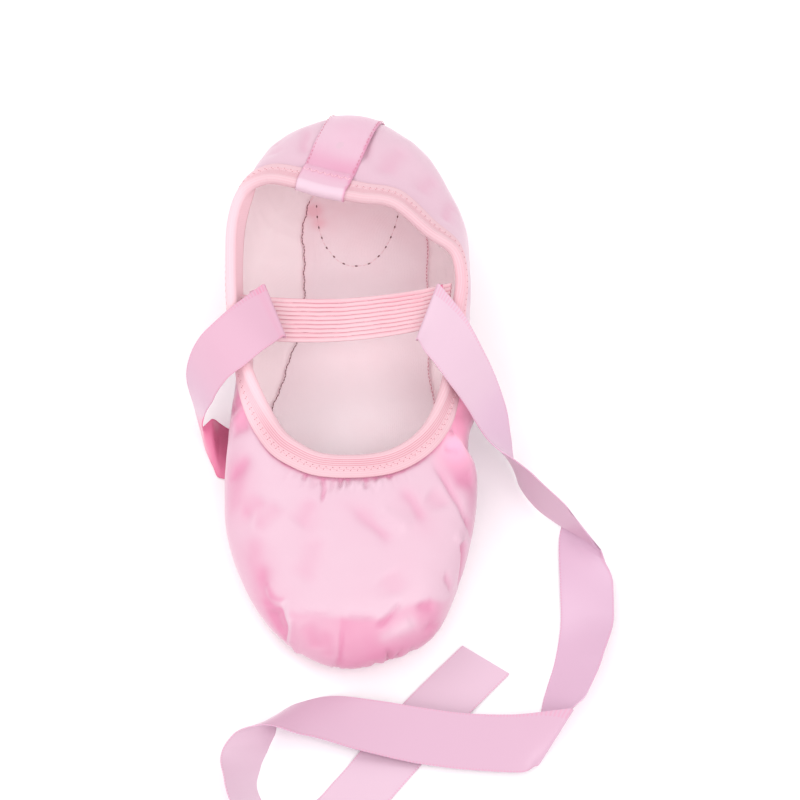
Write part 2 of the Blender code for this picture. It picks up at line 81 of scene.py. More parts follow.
# The last: out is the widest point of a section, rim the edge of the collar, hem the edge that is
# turned in under the foot; rise and back are how stiffly the wall leaves the widest point and
# reaches the rim, and pitch is its slope at the rim in degrees.
# A row holds out x, y and z, rim x, y and z, hem x and y, rise, back and pitch.
LAST = [
    # toe
    (-0.002, -0.1125, 0.011, 0.0, -0.0431, 0.036, -0.001, -0.099, 0.018, 0.03, 6),
    (0.0145, -0.1094, 0.011, 0.007, -0.0427, 0.036, 0.011, -0.096, 0.018, 0.029, 6),
    (0.0292, -0.101, 0.012, 0.014, -0.0412, 0.0362, 0.02, -0.088, 0.018, 0.027, 8),
    (0.0373, -0.0854, 0.013, 0.0208, -0.0376, 0.0366, 0.026, -0.075, 0.018, 0.023, 13),
    # right side of the ball
    (0.0431, -0.065, 0.015, 0.0267, -0.032, 0.0372, 0.026, -0.06, 0.017, 0.018, 22),
    (0.0458, -0.044, 0.017, 0.0314, -0.0242, 0.0382, 0.014, -0.049, 0.015, 0.012, 40),
    # right waist
    (0.043, -0.023, 0.018, 0.035, -0.014, 0.0396, 0.0008, -0.036, 0.011, 0.009, 62),
    (0.043, -0.001, 0.019, 0.0376, 0.0, 0.041, 0.0008, -0.016, 0.009, 0.008, 74),
    (0.0434, 0.022, 0.021, 0.039, 0.015, 0.0425, 0.0008, 0.006, 0.009, 0.008, 72),
    (0.0441, 0.044, 0.022, 0.0408, 0.0285, 0.044, 0.0008, 0.029, 0.01, 0.009, 76),
    # right of the heel
    (0.0428, 0.0635, 0.023, 0.0382, 0.0403, 0.046, 0.005, 0.059, 0.014, 0.011, 60),
    (0.0364, 0.08, 0.023, 0.0286, 0.0479, 0.0476, 0.014, 0.071, 0.019, 0.015, 42),
    (0.0273, 0.096, 0.022, 0.016, 0.059, 0.0498, 0.015, 0.086, 0.024, 0.017, 34),
    (0.0154, 0.1075, 0.021, 0.003, 0.0604, 0.0516, 0.011, 0.0955, 0.028, 0.019, 28),
    # heel
    (0.0025, 0.112, 0.021, -0.0105, 0.0626, 0.053, 0.002, 0.099, 0.03, 0.019, 24),
    (-0.0123, 0.1096, 0.021, -0.0205, 0.0652, 0.0542, -0.008, 0.097, 0.029, 0.018, 24),
    # left of the heel
    (-0.0255, 0.1016, 0.022, -0.031, 0.066, 0.0554, -0.014, 0.088, 0.023, 0.016, 26),
    (-0.0351, 0.087, 0.023, -0.0398, 0.0598, 0.056, -0.014, 0.074, 0.02, 0.015, 34),
    (-0.0417, 0.0695, 0.025, -0.0436, 0.048, 0.054, -0.006, 0.06, 0.016, 0.012, 64),
    (-0.0457, 0.049, 0.025, -0.0442, 0.033, 0.0496, -0.0008, 0.033, 0.012, 0.009, 82),
    # left waist
    (-0.0454, 0.027, 0.023, -0.0432, 0.015, 0.045, -0.0008, 0.01, 0.01, 0.008, 85),
    (-0.0418, 0.004, 0.02, -0.04, 0.0, 0.042, -0.0008, -0.012, 0.009, 0.008, 80),
    (-0.0439, -0.019, 0.018, -0.0358, -0.013, 0.04, -0.0008, -0.035, 0.011, 0.009, 70),
    # left side of the ball
    (-0.045, -0.042, 0.017, -0.0295, -0.0258, 0.0384, -0.014, -0.049, 0.015, 0.012, 42),
    (-0.0435, -0.0635, 0.015, -0.0237, -0.0344, 0.0372, -0.026, -0.06, 0.017, 0.018, 24),
    (-0.0365, -0.0832, 0.013, -0.017, -0.0394, 0.0366, -0.026, -0.075, 0.018, 0.023, 13),
    (-0.0268, -0.0984, 0.012, -0.0115, -0.042, 0.0362, -0.02, -0.088, 0.018, 0.027, 8),
    (-0.0151, -0.1078, 0.011, -0.006, -0.0429, 0.036, -0.011, -0.096, 0.018, 0.029, 6),
]

# The insole's outline: y, left and right
INSOLE = [
    (-0.101, -0.006, 0.004),
    (-0.097, -0.014, 0.0115),
    (-0.086, -0.026, 0.0245),
    (-0.068, -0.032, 0.032),
    (-0.048, -0.0335, 0.0335),
    (-0.028, -0.0325, 0.033),
    (-0.005, -0.029, 0.0308),
    (0.015, -0.0235, 0.0288),
    (0.035, -0.0192, 0.0282),
    (0.055, -0.0184, 0.0286),
    (0.074, -0.0194, 0.0284),
    (0.088, -0.018, 0.022),
    (0.0975, -0.0105, 0.0125),
    (0.0995, -0.004, 0.007),
]

FOREFOOT_PAD = [(-0.001, -0.103), (0.018, -0.098), (0.030, -0.084), (0.0345, -0.066),
                (0.030, -0.049), (0.017, -0.0395), (0.0, -0.0365), (-0.017, -0.0395),
                (-0.030, -0.049), (-0.0345, -0.066), (-0.030, -0.084), (-0.018, -0.098)]
HEEL_PAD = [(0.003, 0.104), (0.017, 0.099), (0.0235, 0.086), (0.021, 0.070), (0.012, 0.060),
            (0.001, 0.057), (-0.010, 0.060), (-0.018, 0.070), (-0.020, 0.086), (-0.012, 0.099)]

STRAP_FRONT = ((-0.0379, 0.0046, 0.0416), (0.0351, 0.0112, 0.0412))
STRAP_BACK = ((-0.0406, 0.0226, 0.0430), (0.0366, 0.0280, 0.0422))

# Ribbon routes: the middle of a line across the ribbon, which way the line points in plan and how
# far it is tipped up, both in degrees, and its length beside the ribbon's width
RIBBON_RIGHT = [
    # from the wall to the fold over the strap
    (0.0344, 0.0166, 0.0437, 96, 0, 1.0),
    (0.0284, 0.0143, 0.0436, 71, 4, 1.2),
    (0.0275, 0.014, 0.0443, 71, 5, 1.2),
    (0.0283, 0.0138, 0.045, 71, 5, 1.2),
    # over the collar and down to the floor
    (0.0346, 0.0026, 0.0464, 51, 2, 1.06),
    (0.0432, -0.0098, 0.0402, 47, -14, 1.0),
    (0.0498, -0.017, 0.0274, 42, -33, 1.0),
    (0.0536, -0.0226, 0.0176, 46, -48, 1.0),
    (0.0568, -0.0284, 0.0126, 42, -68, 1.0),
    # on its edge
    (0.0608, -0.0342, 0.0109, 30, -84, 1.0),
    (0.0662, -0.041, 0.011, 0, -90, 1.0),
    (0.0737, -0.0509, 0.0145, -21, -86, 0.96),
    # rolling over and lying down
    (0.0799, -0.0563, 0.0155, -34, -60, 0.95),
    (0.0838, -0.0593, 0.0143, -39, -38, 0.93),
    (0.0836, -0.0575, 0.0062, -49, 9, 1.02),
    (0.0835, -0.0604, 0.0033, -41, 13, 1.06),
    (0.0846, -0.074, 0.0036, -16, 12, 1.0),
    # running forwards
    (0.0845, -0.0876, 0.0044, -14, 18, 1.0),
    (0.0808, -0.1072, 0.0066, -17, 34, 1.0),
    (0.0757, -0.1224, 0.007, -7, 38, 0.96),
    # folded back over itself
    (0.0713, -0.1372, 0.006, 53, 28, 1.14),
    (0.072, -0.138, 0.0067, 53, 28, 1.14),
    (0.07095, -0.13825, 0.0074, 54.8, 28, 1.17),
    (0.0589, -0.1396, 0.0054, 90, 16, 1.02),
    (0.0424, -0.1388, 0.005, 90, 13, 1.0),
    (0.0261, -0.1366, 0.005, 85, 12, 1.0),
    (0.0061, -0.1323, 0.005, 75, 0, 1.0),
    # rolling over again, round a loop
    (-0.0124, -0.1285, 0.0043, 72, -18, 0.98),
    (-0.0213, -0.129, 0.006, 66, -34, 0.95),
    (-0.0273, -0.1312, 0.0075, 59, -45, 0.95),
    (-0.0302, -0.1336, 0.0076, 41, -45, 0.96),
    (-0.0328, -0.1371, 0.0071, 24, -40, 0.98),
    (-0.0356, -0.1423, 0.0066, 20, -35, 0.98),
    (-0.0371, -0.1494, 0.0074, 22, -43, 0.95),
    (-0.037, -0.1554, 0.0082, 30, -51, 0.95),
    (-0.0345, -0.164, 0.0082, 44, -50, 1.0),
    # and the tail, under the stretch before the loop
    (-0.0285, -0.1705, 0.0072, 66, -42, 1.0),
    (-0.0195, -0.1728, 0.0056, 88, -30, 1.0),
    (-0.0085, -0.169, 0.0036, 110, -16, 1.0),
    (0.002, -0.159, 0.0016, 128, -4, 1.0),
    (0.0115, -0.147, 0.0007, 134, 0, 1.0),
    (0.026, -0.129, 0.0007, 138, 0, 1.0),
    (0.0483, -0.1045, 0.0007, 146, 0, 1.0),
]

RIBBON_LEFT = [
    # from the wall to the fold over the strap
    (-0.0376, 0.0126, 0.0447, 84, 2, 1.0),
    (-0.028, 0.014, 0.0444, 111, 5, 1.12),
    (-0.0271, 0.014, 0.0451, 111, 6, 1.12),
    (-0.028, 0.014, 0.0458, 111, 6, 1.12),
    # over the collar and down outside it
    (-0.0366, 0.0052, 0.0476, 129, 6, 1.03),
    (-0.0452, -0.0016, 0.0446, 132, 4, 1.0),
    (-0.0515, -0.0048, 0.0364, 132, -14, 1.0),
    (-0.0544, -0.008, 0.027, 128, -30, 1.0),
    (-0.0548, -0.0124, 0.0186, 112, -52, 1.0),
    (-0.0536, -0.018, 0.0102, 96, -80, 1.0),
    # lying down and turning in under the shoe
    (-0.0508, -0.02, 0.0096, 90, -115, 1.0),
    (-0.0482, -0.0206, 0.005, 90, -152, 1.0),
    (-0.04, -0.0206, 0.001, 94, -180, 1.0),
]

UNDER_LEFT, UNDER_RIGHT = -0.034, 0.031      # the hidden length lies in folds across the arch
UNDER_START, UNDER_STEP = -0.0204, 0.0106
UNDER_LAYERS = (0.0005, 0.0015)
UNDER_BEARINGS = {1: 94, -1: 86}
UNDER_TURN, UNDER_DRIFT, UNDER_FOLD_LENGTH = 0.0008, (0.0001, 0.0002), 0.0020
FOLD_STEP = 0.0022           # steps of a route shorter than this are the ribbon's turn at a fold


# ---------------------------------------------------------------- curves and the last's surface

UP = np.array([0.0, 0.0, 1.0])
LEVEL = 1.0 - UP
RUN_STEPS = 41               # points between the collar and the widest point, to measure along
NORMAL_STEP = 0.01           # how far apart the points are that give a normal


def length(vectors):
    return np.linalg.norm(vectors, axis=-1)


def unit(vectors):
    return vectors / np.maximum(length(vectors), 1e-12)[..., None]


def run_along(points, axis=0):
    """How far each point of a grid lies from the first, along one of the grid's axes."""
    steps = np.cumsum(length(np.diff(points, axis=axis)), axis=axis)
    return np.insert(steps, 0, 0.0, axis=axis)


def smoothstep(value):
    value = np.clip(value, 0.0, 1.0)
    return value * value * (3.0 - 2.0 * value)


def peak(distance, width):
    """1 at no distance, falling softly to 0 beyond the width."""
    return np.exp(-(distance / width) ** 2)


def arch(y):
    """How far the shoe's underside stands above the level of the pads."""
    share = (np.asarray(y, float) - ARCH_FRONT) / (ARCH_BACK - ARCH_FRONT)
    return ARCH_LIFT * smoothstep(4.0 * share) * smoothstep(4.0 * (1.0 - share))


def around(rows, place):
    """Smooth closed curve through evenly spaced rows, read at places counted in rows."""
    first = np.floor(place).astype(int)
    t = (place - first)[..., None]
    a, b, c, d = (rows[(first + shift) % len(rows)] for shift in (-1, 0, 1, 2))
    return 0.5 * (2 * b + (c - a) * t + (2 * a - 5 * b + 4 * c - d) * t ** 2
                  + (3 * b - a - 3 * c + d) * t ** 3)


def along(stations, values, place, turn=0.0):
    """Smooth open curve through values at rising stations, which never overshoots a value; beside
    a step shorter than turn it keeps the slope of the longer step."""
    step = np.diff(stations)
    slope = np.diff(values) / step
    tangent = np.zeros(len(values))
    for i in range(1, len(values) - 1):
        before, after = slope[i - 1], slope[i]
        if (step[i - 1] < turn) != (step[i] < turn):
            tangent[i] = after if step[i - 1] < turn else before
        elif before * after > 0:
            weights = (2 * step[i] + step[i - 1], step[i] + 2 * step[i - 1])
            tangent[i] = sum(weights) / (weights[0] / before + weights[1] / after)
    tangent[0], tangent[-1] = slope[0], slope[-1]
    i = np.clip(np.searchsorted(stations, place, side="right") - 1, 0, len(step) - 1)
    t = (place - stations[i]) / step[i]
    return ((1 + 2 * t) * (1 - t) ** 2 * values[i] + t * (1 - t) ** 2 * step[i] * tangent[i]
            + t * t * (3 - 2 * t) * values[i + 1] + t * t * (t - 1) * step[i] * tangent[i + 1])


def last_point(place, height):
    """Points of the upper's outer face, for arrays of places and heights."""
    place, height = np.broadcast_arrays(np.asarray(place, float), np.asarray(height, float))
    at = around(np.array(LAST), place)
    out, rim = at[..., 0:3], at[..., 3:6]
    hem = np.concatenate([at[..., 6:8], 0 * at[..., :1]], -1)
    rise, back, pitch = at[..., 8:9], at[..., 9:10], np.radians(at[..., 10:])

    outward = (out - hem) * LEVEL
    corner = hem + outward * (1.0 - TURN_RADIUS / length(outward))[..., None]
    flat = hem + (corner - hem) * (np.clip(1.0 + height, 0, 1) / TURN_SHARE)[..., None]
    flat[..., 2] = HEM_LEVEL + arch(flat[..., 1])
    t = (1.0 + height - TURN_SHARE) / (1.0 - TURN_SHARE)
    turned = corner + (out - corner) * np.sin(t * math.pi / 2)[..., None]
    turned[..., 2] = out[..., 2] - ((out[..., 2] - HEM_LEVEL - arch(corner[..., 1]))
                                    * np.cos(t * math.pi / 2))
    under = np.where(t[..., None] < 0, flat, turned)

    lean = unit((rim - out) * LEVEL) * np.cos(pitch)
    lean[..., 2:] = np.sin(pitch)
    start = out + rise * UP
    end = rim - back * lean
    h = height[..., None]
    over = (out * (1 - h) ** 3 + 3 * start * h * (1 - h) ** 2 + 3 * end * h * h * (1 - h)
            + rim * h ** 3)
    return np.where(h < 0, under, over)


def last_frame(place, height):
    """Points, outward normals and directions towards the collar."""
    place, height = np.broadcast_arrays(np.asarray(place, float), np.asarray(height, float))
    low, high = np.maximum(height - NORMAL_STEP, -1.0), np.minimum(height + NORMAL_STEP, 1.0)
    up = last_point(place, high) - last_point(place, low)
    ahead = last_point(place + NORMAL_STEP, height) - last_point(place - NORMAL_STEP, height)
    return last_point(place, height), unit(np.cross(ahead, up)), unit(up)


def height_below_rim(place, distance):
    """The heights whose points lie a distance below the collar's edge, along the wall."""
    place, distance = np.broadcast_arrays(np.asarray(place, float), np.asarray(distance, float))
    steps = np.linspace(1.0, 0.0, RUN_STEPS)
    run = run_along(last_point(place[..., None], steps), place.ndim)
    flat = [np.interp(d, r, steps) for d, r in zip(distance.ravel(), run.reshape(-1, len(steps)))]
    return np.array(flat).reshape(place.shape)


def below_rim(place, distance, stand_off=0.0):
    """Points and normals at a distance below the collar's edge, lifted off the wall."""
    point, normal, _ = last_frame(place, height_below_rim(place, distance))
    return point + stand_off * normal, normal


def beside_heel(height, across):
    """The place on the last a distance to one side of the leaning tab's middle, at each height."""
    step = last_point(HEEL_SECTION + 0.5, height) - last_point(HEEL_SECTION - 0.5, height)
    lean = TAB_LEAN[0] + (TAB_LEAN[1] - TAB_LEAN[0]) * np.maximum(height, 0.0)
    return HEEL_SECTION - (across + lean) / length(step)


# ---------------------------------------------------------------------- node trees and finishes

def operator(operation, swapped=False):
    """What a sum on a Socket does: it adds a Math node."""
    def add_node(self, other):
        return self.graph.maths(operation, *((other, self) if swapped else (self, other)))
    return add_node


class Socket:
    """A node's output, to reckon with."""

    __add__ = __radd__ = operator("ADD")
    __mul__ = __rmul__ = operator("MULTIPLY")
    __sub__, __rsub__ = operator("SUBTRACT"), operator("SUBTRACT", swapped=True)
    __truediv__, __mod__ = operator("DIVIDE"), operator("MODULO")

    def __init__(self, graph, output):
        self.graph, self.output = graph, output

    def __abs__(self):
        return self.graph.maths("ABSOLUTE", self)

    def between(self, low, high):
        """0 below low and 1 above high, with a soft step between them."""
        return self.graph.add("ShaderNodeMapRange", {"interpolation_type": "SMOOTHSTEP"},
                              {"Value": self, "From Min": low, "From Max": high})

    def wave(self, pitch):
        """A sine between 0 and 1 that repeats at each pitch."""
        return self.graph.maths("SINE", self * (2 * math.pi / pitch)) * 0.5 + 0.5


class Graph:
    """Builds a node tree; every node comes from add()."""

    def __init__(self, tree):
        self.tree = tree

    def add(self, kind, settings=None, inputs=None, output=0):
        node = self.tree.nodes.new(kind)
        for name, value in (settings or {}).items():
            setattr(node, name, value)
        self.feed(node, inputs or {})
        return Socket(self, node.outputs[output])

    def feed(self, node, inputs):
        for name, value in inputs.items():
            if isinstance(value, Socket):
                self.tree.links.new(value.output, node.inputs[name])
            else:
                node.inputs[name].default_value = value

    def maths(self, operation, *values):
        return self.add("ShaderNodeMath", {"operation": operation}, dict(enumerate(values)))

    def mix(self, factor, first, second):
        """Two colours mixed."""
        return self.add("ShaderNodeMix", {"data_type": "RGBA"}, {0: factor, 6: first, 7: second},
                        output=2)

    def mark(self, name):
        """A value painted on the piece's points."""
        return self.add("ShaderNodeAttribute", {"attribute_name": name}, output="Fac")

    def weave(self):
        """The cloth's own coordinates: along and across, in metres."""
        split = self.add("ShaderNodeSeparateXYZ", {},
                         {0: self.add("ShaderNodeUVMap", {"uv_map": "cloth"})})
        return split, Socket(self, split.output.node.outputs[1])

    def grain(self, scale, stretch=(1, 1, 1), detail=2.0, cloth=False):
        """Soft noise between 0 and 1 on the piece or on its cloth coordinates."""
        if cloth:
            place = self.add("ShaderNodeUVMap", {"uv_map": "cloth"})
        else:
            place = self.add("ShaderNodeTexCoord", output="Object")
        place = self.add("ShaderNodeMapping", {}, {"Vector": place, "Scale": stretch})
        return self.add("ShaderNodeTexNoise", {}, {"Vector": place, "Scale": scale,
                                                   "Detail": detail})

    def bump(self, height, distance):
        return self.add("ShaderNodeBump", {}, {"Height": height, "Distance": distance})


class Finish(Graph):
    """The graph of a new material; fixed are its shader's own values."""

    def __init__(self, name, fixed):
        self.material = bpy.data.materials.new(name)
        self.material.use_nodes = True
        super().__init__(self.material.node_tree)
        self.shader = self.tree.nodes["Principled BSDF"]
        self.feed(self.shader, fixed)

    def shows(self, color, roughness, normal=None, painted_glow=None):
        """Leads what changes over the piece to the shader, and gives the material."""
        given = {"Base Color": color, "Roughness": roughness, "Normal": normal,
                 "Emission Color": painted_glow}
        self.feed(self.shader, {name: value for name, value in given.items() if value})
        return self.material


BLACK = (0.0, 0.0, 0.0, 1.0)
THREAD_PITCH = 0.00055       # of the lining
CROSS_PITCH, PICOT_PITCH = 0.0008, 0.0011    # the ribbon's crossing threads and edge loops


def dye(red, green, blue):
    """A colour given as on a dye card, in steps of 255, for the shader."""
    steps = (value / 255 for value in (red, green, blue))
    return (*(v / 12.92 if v < 0.04 else ((v + 0.055) / 1.055) ** 2.4 for v in steps), 1.0)


def satin(name, light, deep, painted_pink_light):
    """Polished satin: a pale sheen that deepens in soft patches and in the shade painted on it,
    and
    takes painted light where that is marked: a clear bright pink in its colour and a faint glow."""
    made = Finish(name, {"Sheen Weight": 0.25, "Sheen Roughness": 0.35,
                         "Specular IOR Level": 0.35, "Emission Strength": 0.17})
    cloudy = made.grain(34.0, detail=3.0)
    soft = made.grain(105.4)
    mask = (made.mark("shade") * (0.80 + 0.40 * cloudy) + (cloudy - 0.5) * 0.34
            + (soft - 0.5) * 0.12)
    threads = made.grain(900.0, (1.0, 9.0, 1.0), cloth=True)
    slubs = made.grain(260.0, (1.0, 14.0, 1.0), cloth=True)
    base = made.mix(mask.between(-0.10, 1.0), light, deep)
    return made.shows(made.mix(made.mark("painted_pink_light") * (0.7 + 0.6 * cloudy), base, painted_pink_light),
                      0.34 + 0.12 * slubs, made.bump(threads + 0.5 * slubs, 0.000012),
                      made.mix(made.mark("painted_pink_light"), BLACK, painted_pink_light))


def cotton(name, light, deep):
    """Plain-woven lining with painted shade; where it is marked, a faint glow in its deeper colour
    is painted light.
    """
    made = Finish(name, {"Specular IOR Level": 0.2, "Emission Strength": 0.042})
    along_, across_ = made.weave()
    woven = along_.wave(THREAD_PITCH) * across_.wave(THREAD_PITCH)
    mask = made.mark("shade") * 0.9 + (made.grain(45.0, detail=3.0) - 0.5) * 0.65
    return made.shows(made.mix(mask.between(0.0, 1.0), light, deep), 0.86 + 0.1 * woven,
                      made.bump(woven + made.grain(700.0), 0.00004),
                      made.mix(made.mark("painted_glow"), BLACK, deep))


def suede(name, light, deep):
    """Napped leather with darker brushed places."""
    made = Finish(name, {"Specular IOR Level": 0.15, "Sheen Weight": 0.4})
    nap = made.grain(2600.0, detail=4.0)
    mask = 0.6 * made.grain(60.0, (1.0, 0.4, 1.0), detail=4.0) + 0.4 * nap
    return made.shows(made.mix(mask.between(0.25, 0.75), deep, light), 0.9 + 0.08 * nap,
                      made.bump(nap, 0.00012))


def elastic(name, light, deep, pitch):
    """Corded elastic: cords run along the cloth, with fine crossing threads and painted shade
    between the cords; it is painted paler, as painted light, where it is marked lift."""
    made = Finish(name, {"Specular IOR Level": 0.3, "Sheen Weight": 0.15})
    along_, across_ = made.weave()
    threads = along_.wave(0.0007)
    mask = (made.mark("shade") + (1 - across_.wave(pitch)) * 0.25
            + (made.grain(50.0) - 0.5) * 0.4)
    base = made.mix(mask.between(-0.05, 1.0), light, deep)
    return made.shows(made.mix(made.mark("lift"), base, dye(252, 206, 216)),
                      0.62 + 0.15 * threads,
                      made.bump(threads * 0.5 + made.grain(1500.0), 0.00006))


def band_satin(name, light, deep):
    """Ribbon satin: smooth face, woven edge with a row of tiny loops, faint crossing threads, the
    painted light and shade marked along it, and a deep rose of painted shade where it is marked
    rosy."""
    made = Finish(name, {"Specular IOR Level": 0.4, "Sheen Weight": 0.2, "Sheen Roughness": 0.3})
    along_, across_ = made.weave()
    half = RIBBON_WIDTH / 2
    selvedge = (abs(across_ - half) / half).between(0.925, 0.945)
    loops = along_.wave(PICOT_PITCH) * selvedge
    mask = (made.mark("shade") + (made.grain(30.0) - 0.5) * 0.7 + loops * 0.35
            + (along_.wave(CROSS_PITCH) - 0.5) * 0.06)
    # the painted rose shade, and the woven edge's own deeper pink
    rosy = made.mark("rosy") + selvedge * (0.06 + 0.26 * loops)
    threads = made.grain(1100.0, (6.0, 1.0, 1.0), cloth=True)
    base = made.mix(mask.between(-0.05, 1.0), light, deep)
    return made.shows(made.mix(rosy.between(0.0, 1.0), base, dye(226, 118, 156)),
                      0.33 + 0.3 * selvedge, made.bump(threads * 0.5 + loops * 2.0, 0.00003))


def thread_finish(name, hue):
    made = Finish(name, {"Specular IOR Level": 0.3})
    twist = made.grain(2400.0)
    return made.shows(made.mix(twist * 0.5, hue, tuple(0.6 * c for c in hue[:3]) + (1.0,)),
                      0.6 + 0.2 * twist)


# ---------------------------------------------------------------------------- making pieces

def new_piece(name, points, faces, materials, spots=None, marks=None):
    """A smooth mesh; spots are its corners' places on the cloth, marks its points' values."""
    mesh = bpy.data.meshes.new(name)
    mesh.from_pydata(points, [], faces)
    if spots is not None:
        mesh.uv_layers.new(name="cloth").data.foreach_set("uv", spots.ravel().astype(np.float32))
    for mark, values in (marks or {}).items():
        layer = mesh.attributes.new(mark, "FLOAT", "POINT")
        layer.data.foreach_set("value", np.asarray(values, np.float32).ravel())
    for material in materials:
        mesh.materials.append(material)
    mesh.shade_smooth()
    return in_scene(name, mesh)


def in_scene(name, data):
    made = bpy.data.objects.new(name, data)
    bpy.context.scene.collection.objects.link(made)
    return made


def grid_faces(rows, ring=False):
    """The faces of a grid of points, and their corners' places on the cloth in metres."""
    count, columns = rows.shape[:2]
    row, column = np.indices((count - 1, columns if ring else columns - 1)).reshape(2, -1)
    corner_rows = np.stack([row, row, row + 1, row + 1], -1)
    corner_columns = np.stack([column, column + 1, column + 1, column], -1)
    closed = np.concatenate([rows, rows[:, :1]], axis=1)
    run, rise = run_along(closed, 1).mean(axis=0), run_along(closed)
    spots = np.stack([run[corner_columns], rise[corner_rows, corner_columns]], -1)
    return corner_rows * columns + corner_columns % columns, spots


def cloth(name, rows, material, thickness, offset=-1.0, ring=False, marks=None):
    """A piece of cloth over a grid of points, with cloth coordinates along and across it.
    Solidify gives it its thickness: offset is -1 where the grid is the outer face."""
    faces, spots = grid_faces(rows, ring)
    piece = new_piece(name, rows.reshape(-1, 3), faces.tolist(), [material], spots, marks)
    shell = piece.modifiers.new("Thickness", "SOLIDIFY")
    shell.thickness = thickness
    shell.offset = offset
    shell.use_even_offset = True
    return piece


SHARP_EDGE = math.radians(55)


def two_faced(name, front, back, materials, marks):
    """A closed strip between two grids of points, with a finish for each side."""
    faces, spots = grid_faces(front)
    corners = np.arange(front[..., 0].size).reshape(front.shape[:2])
    size = corners.size
    border = np.concatenate([corners[0, :-1], corners[:-1, -1], corners[-1, :0:-1],
                             corners[:0:-1, 0]])
    after = np.roll(border, -1)
    edge = np.stack([after, border, border + size, after + size], -1)
    spot = np.zeros((size, 2))
    spot[faces] = spots
    edge_spots = spot[np.stack([after, border, border, after], -1)]
    piece = new_piece(name, np.concatenate([front.reshape(-1, 3), back.reshape(-1, 3)]),
                      np.concatenate([faces, faces[:, ::-1] + size, edge]).tolist(), materials,
                      np.concatenate([spots, spots[:, ::-1], edge_spots]),
                      {mark: np.concatenate([values] * 2) for mark, values in marks.items()})
    sides = np.repeat([0, 1, 0], [len(faces), len(faces), len(edge)])
    piece.data.polygons.foreach_set("material_index", sides.astype(np.int32))
    piece.data.set_sharp_from_angle(angle=SHARP_EDGE)
    return piece


def wear(piece, slot, *nodes):
    """Puts a finished piece on the shoe, where it stands for nodes of the model; slot is not used.
    """
    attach(piece, "root")
    if nodes:
        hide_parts(*nodes)
    return piece


def sewn_row_tree():
    """Stitches at even steps along a line; with a slant they lean to either side in turn."""
    tree = bpy.data.node_groups.new("sewn row", "GeometryNodeTree")
    kinds = {"Line": "Geometry", "Pitch": "Float", "Length": "Float", "Thread": "Float",
             "Slant": "Float", "Finish": "Material"}
    for name, kind in kinds.items():
        tree.interface.new_socket(name, in_out="INPUT", socket_type="NodeSocket" + kind)
    tree.interface.new_socket("Stitches", in_out="OUTPUT", socket_type="NodeSocketGeometry")
    graph = Graph(tree)
    given = tree.nodes.new("NodeGroupInput")
    line, pitch, stitch_length, thread, slant, finish = (Socket(graph, given.outputs[i])
                                                         for i in range(len(kinds)))
    curve = graph.add("GeometryNodeMeshToCurve", {}, {"Mesh": line})
    steps = graph.add("GeometryNodeResampleCurve", {"mode": "LENGTH"},
                      {"Curve": curve, "Length": pitch})
    size = graph.add("ShaderNodeCombineXYZ", {}, {0: stitch_length, 1: thread, 2: thread})
    stitch = graph.add("GeometryNodeMeshUVSphere", {},
                       {"Segments": 6, "Rings": 5, "Radius": 0.5})
    stitch = graph.add("GeometryNodeTransform", {}, {"Geometry": stitch, "Scale": size})
    outward = graph.add("GeometryNodeInputNamedAttribute", {"data_type": "FLOAT_VECTOR"},
                        {"Name": "outward"})
    turn = graph.add("FunctionNodeAlignRotationToVector", {"axis": "X"},
                     {"Vector": graph.add("GeometryNodeInputTangent")})
    turn = graph.add("FunctionNodeAlignRotationToVector", {"axis": "Z", "pivot_axis": "X"},
                     {"Rotation": turn, "Vector": outward})
    side = graph.add("GeometryNodeInputIndex") % 2.0
    lean = graph.add("ShaderNodeCombineXYZ", {}, {2: (side * 2.0 - 1.0) * slant})
    lean = graph.add("FunctionNodeEulerToRotation", {}, {0: lean})
    turn = graph.add("FunctionNodeRotateRotation", {"rotation_space": "LOCAL"},
                     {"Rotation": turn, "Rotate By": lean})
    row = graph.add("GeometryNodeInstanceOnPoints", {},
                    {"Points": steps, "Instance": stitch, "Rotation": turn})
    row = graph.add("GeometryNodeRealizeInstances", {}, {"Geometry": row})
    row = graph.add("GeometryNodeSetMaterial", {}, {"Geometry": row, "Material": finish})
    graph.feed(tree.nodes.new("NodeGroupOutput"), {0: row})
    return tree


def sew(name, lines, finish, slot, pitch, stitch_length, thread, slant=0.0):
    """Stitches along lines; a line is a pair of arrays, its points and the outward directions."""
    points, outward = (np.concatenate(parts) for parts in zip(*lines))
    ends = np.cumsum([len(places) for places, _ in lines])
    mesh = bpy.data.meshes.new(name)
    steps = [(i, i + 1) for i in range(len(points) - 1) if i + 1 not in ends]
    mesh.from_pydata(points, steps, [])
    layer = mesh.attributes.new("outward", "FLOAT_VECTOR", "POINT")
    layer.data.foreach_set("vector", outward.astype(np.float32).ravel())
    piece = in_scene(name, mesh)
    row = piece.modifiers.new("Sewn row", "NODES")
    row.node_group = SEWN_ROW
    values = {"Pitch": pitch, "Length": stitch_length, "Thread": thread, "Slant": slant,
              "Finish": finish}
    for item in SEWN_ROW.interface.items_tree:
        if item.name in values:
            row[item.identifier] = values[item.name]
    depsgraph = bpy.context.evaluated_depsgraph_get()
    made = bpy.data.meshes.new_from_object(piece.evaluated_get(depsgraph), depsgraph=depsgraph)
    made.name = name
    piece.modifiers.clear()
    piece.data = made
    made.shade_smooth()
    return wear(piece, slot)


# ------------------------------------------------------------------- creases, folds and gathers

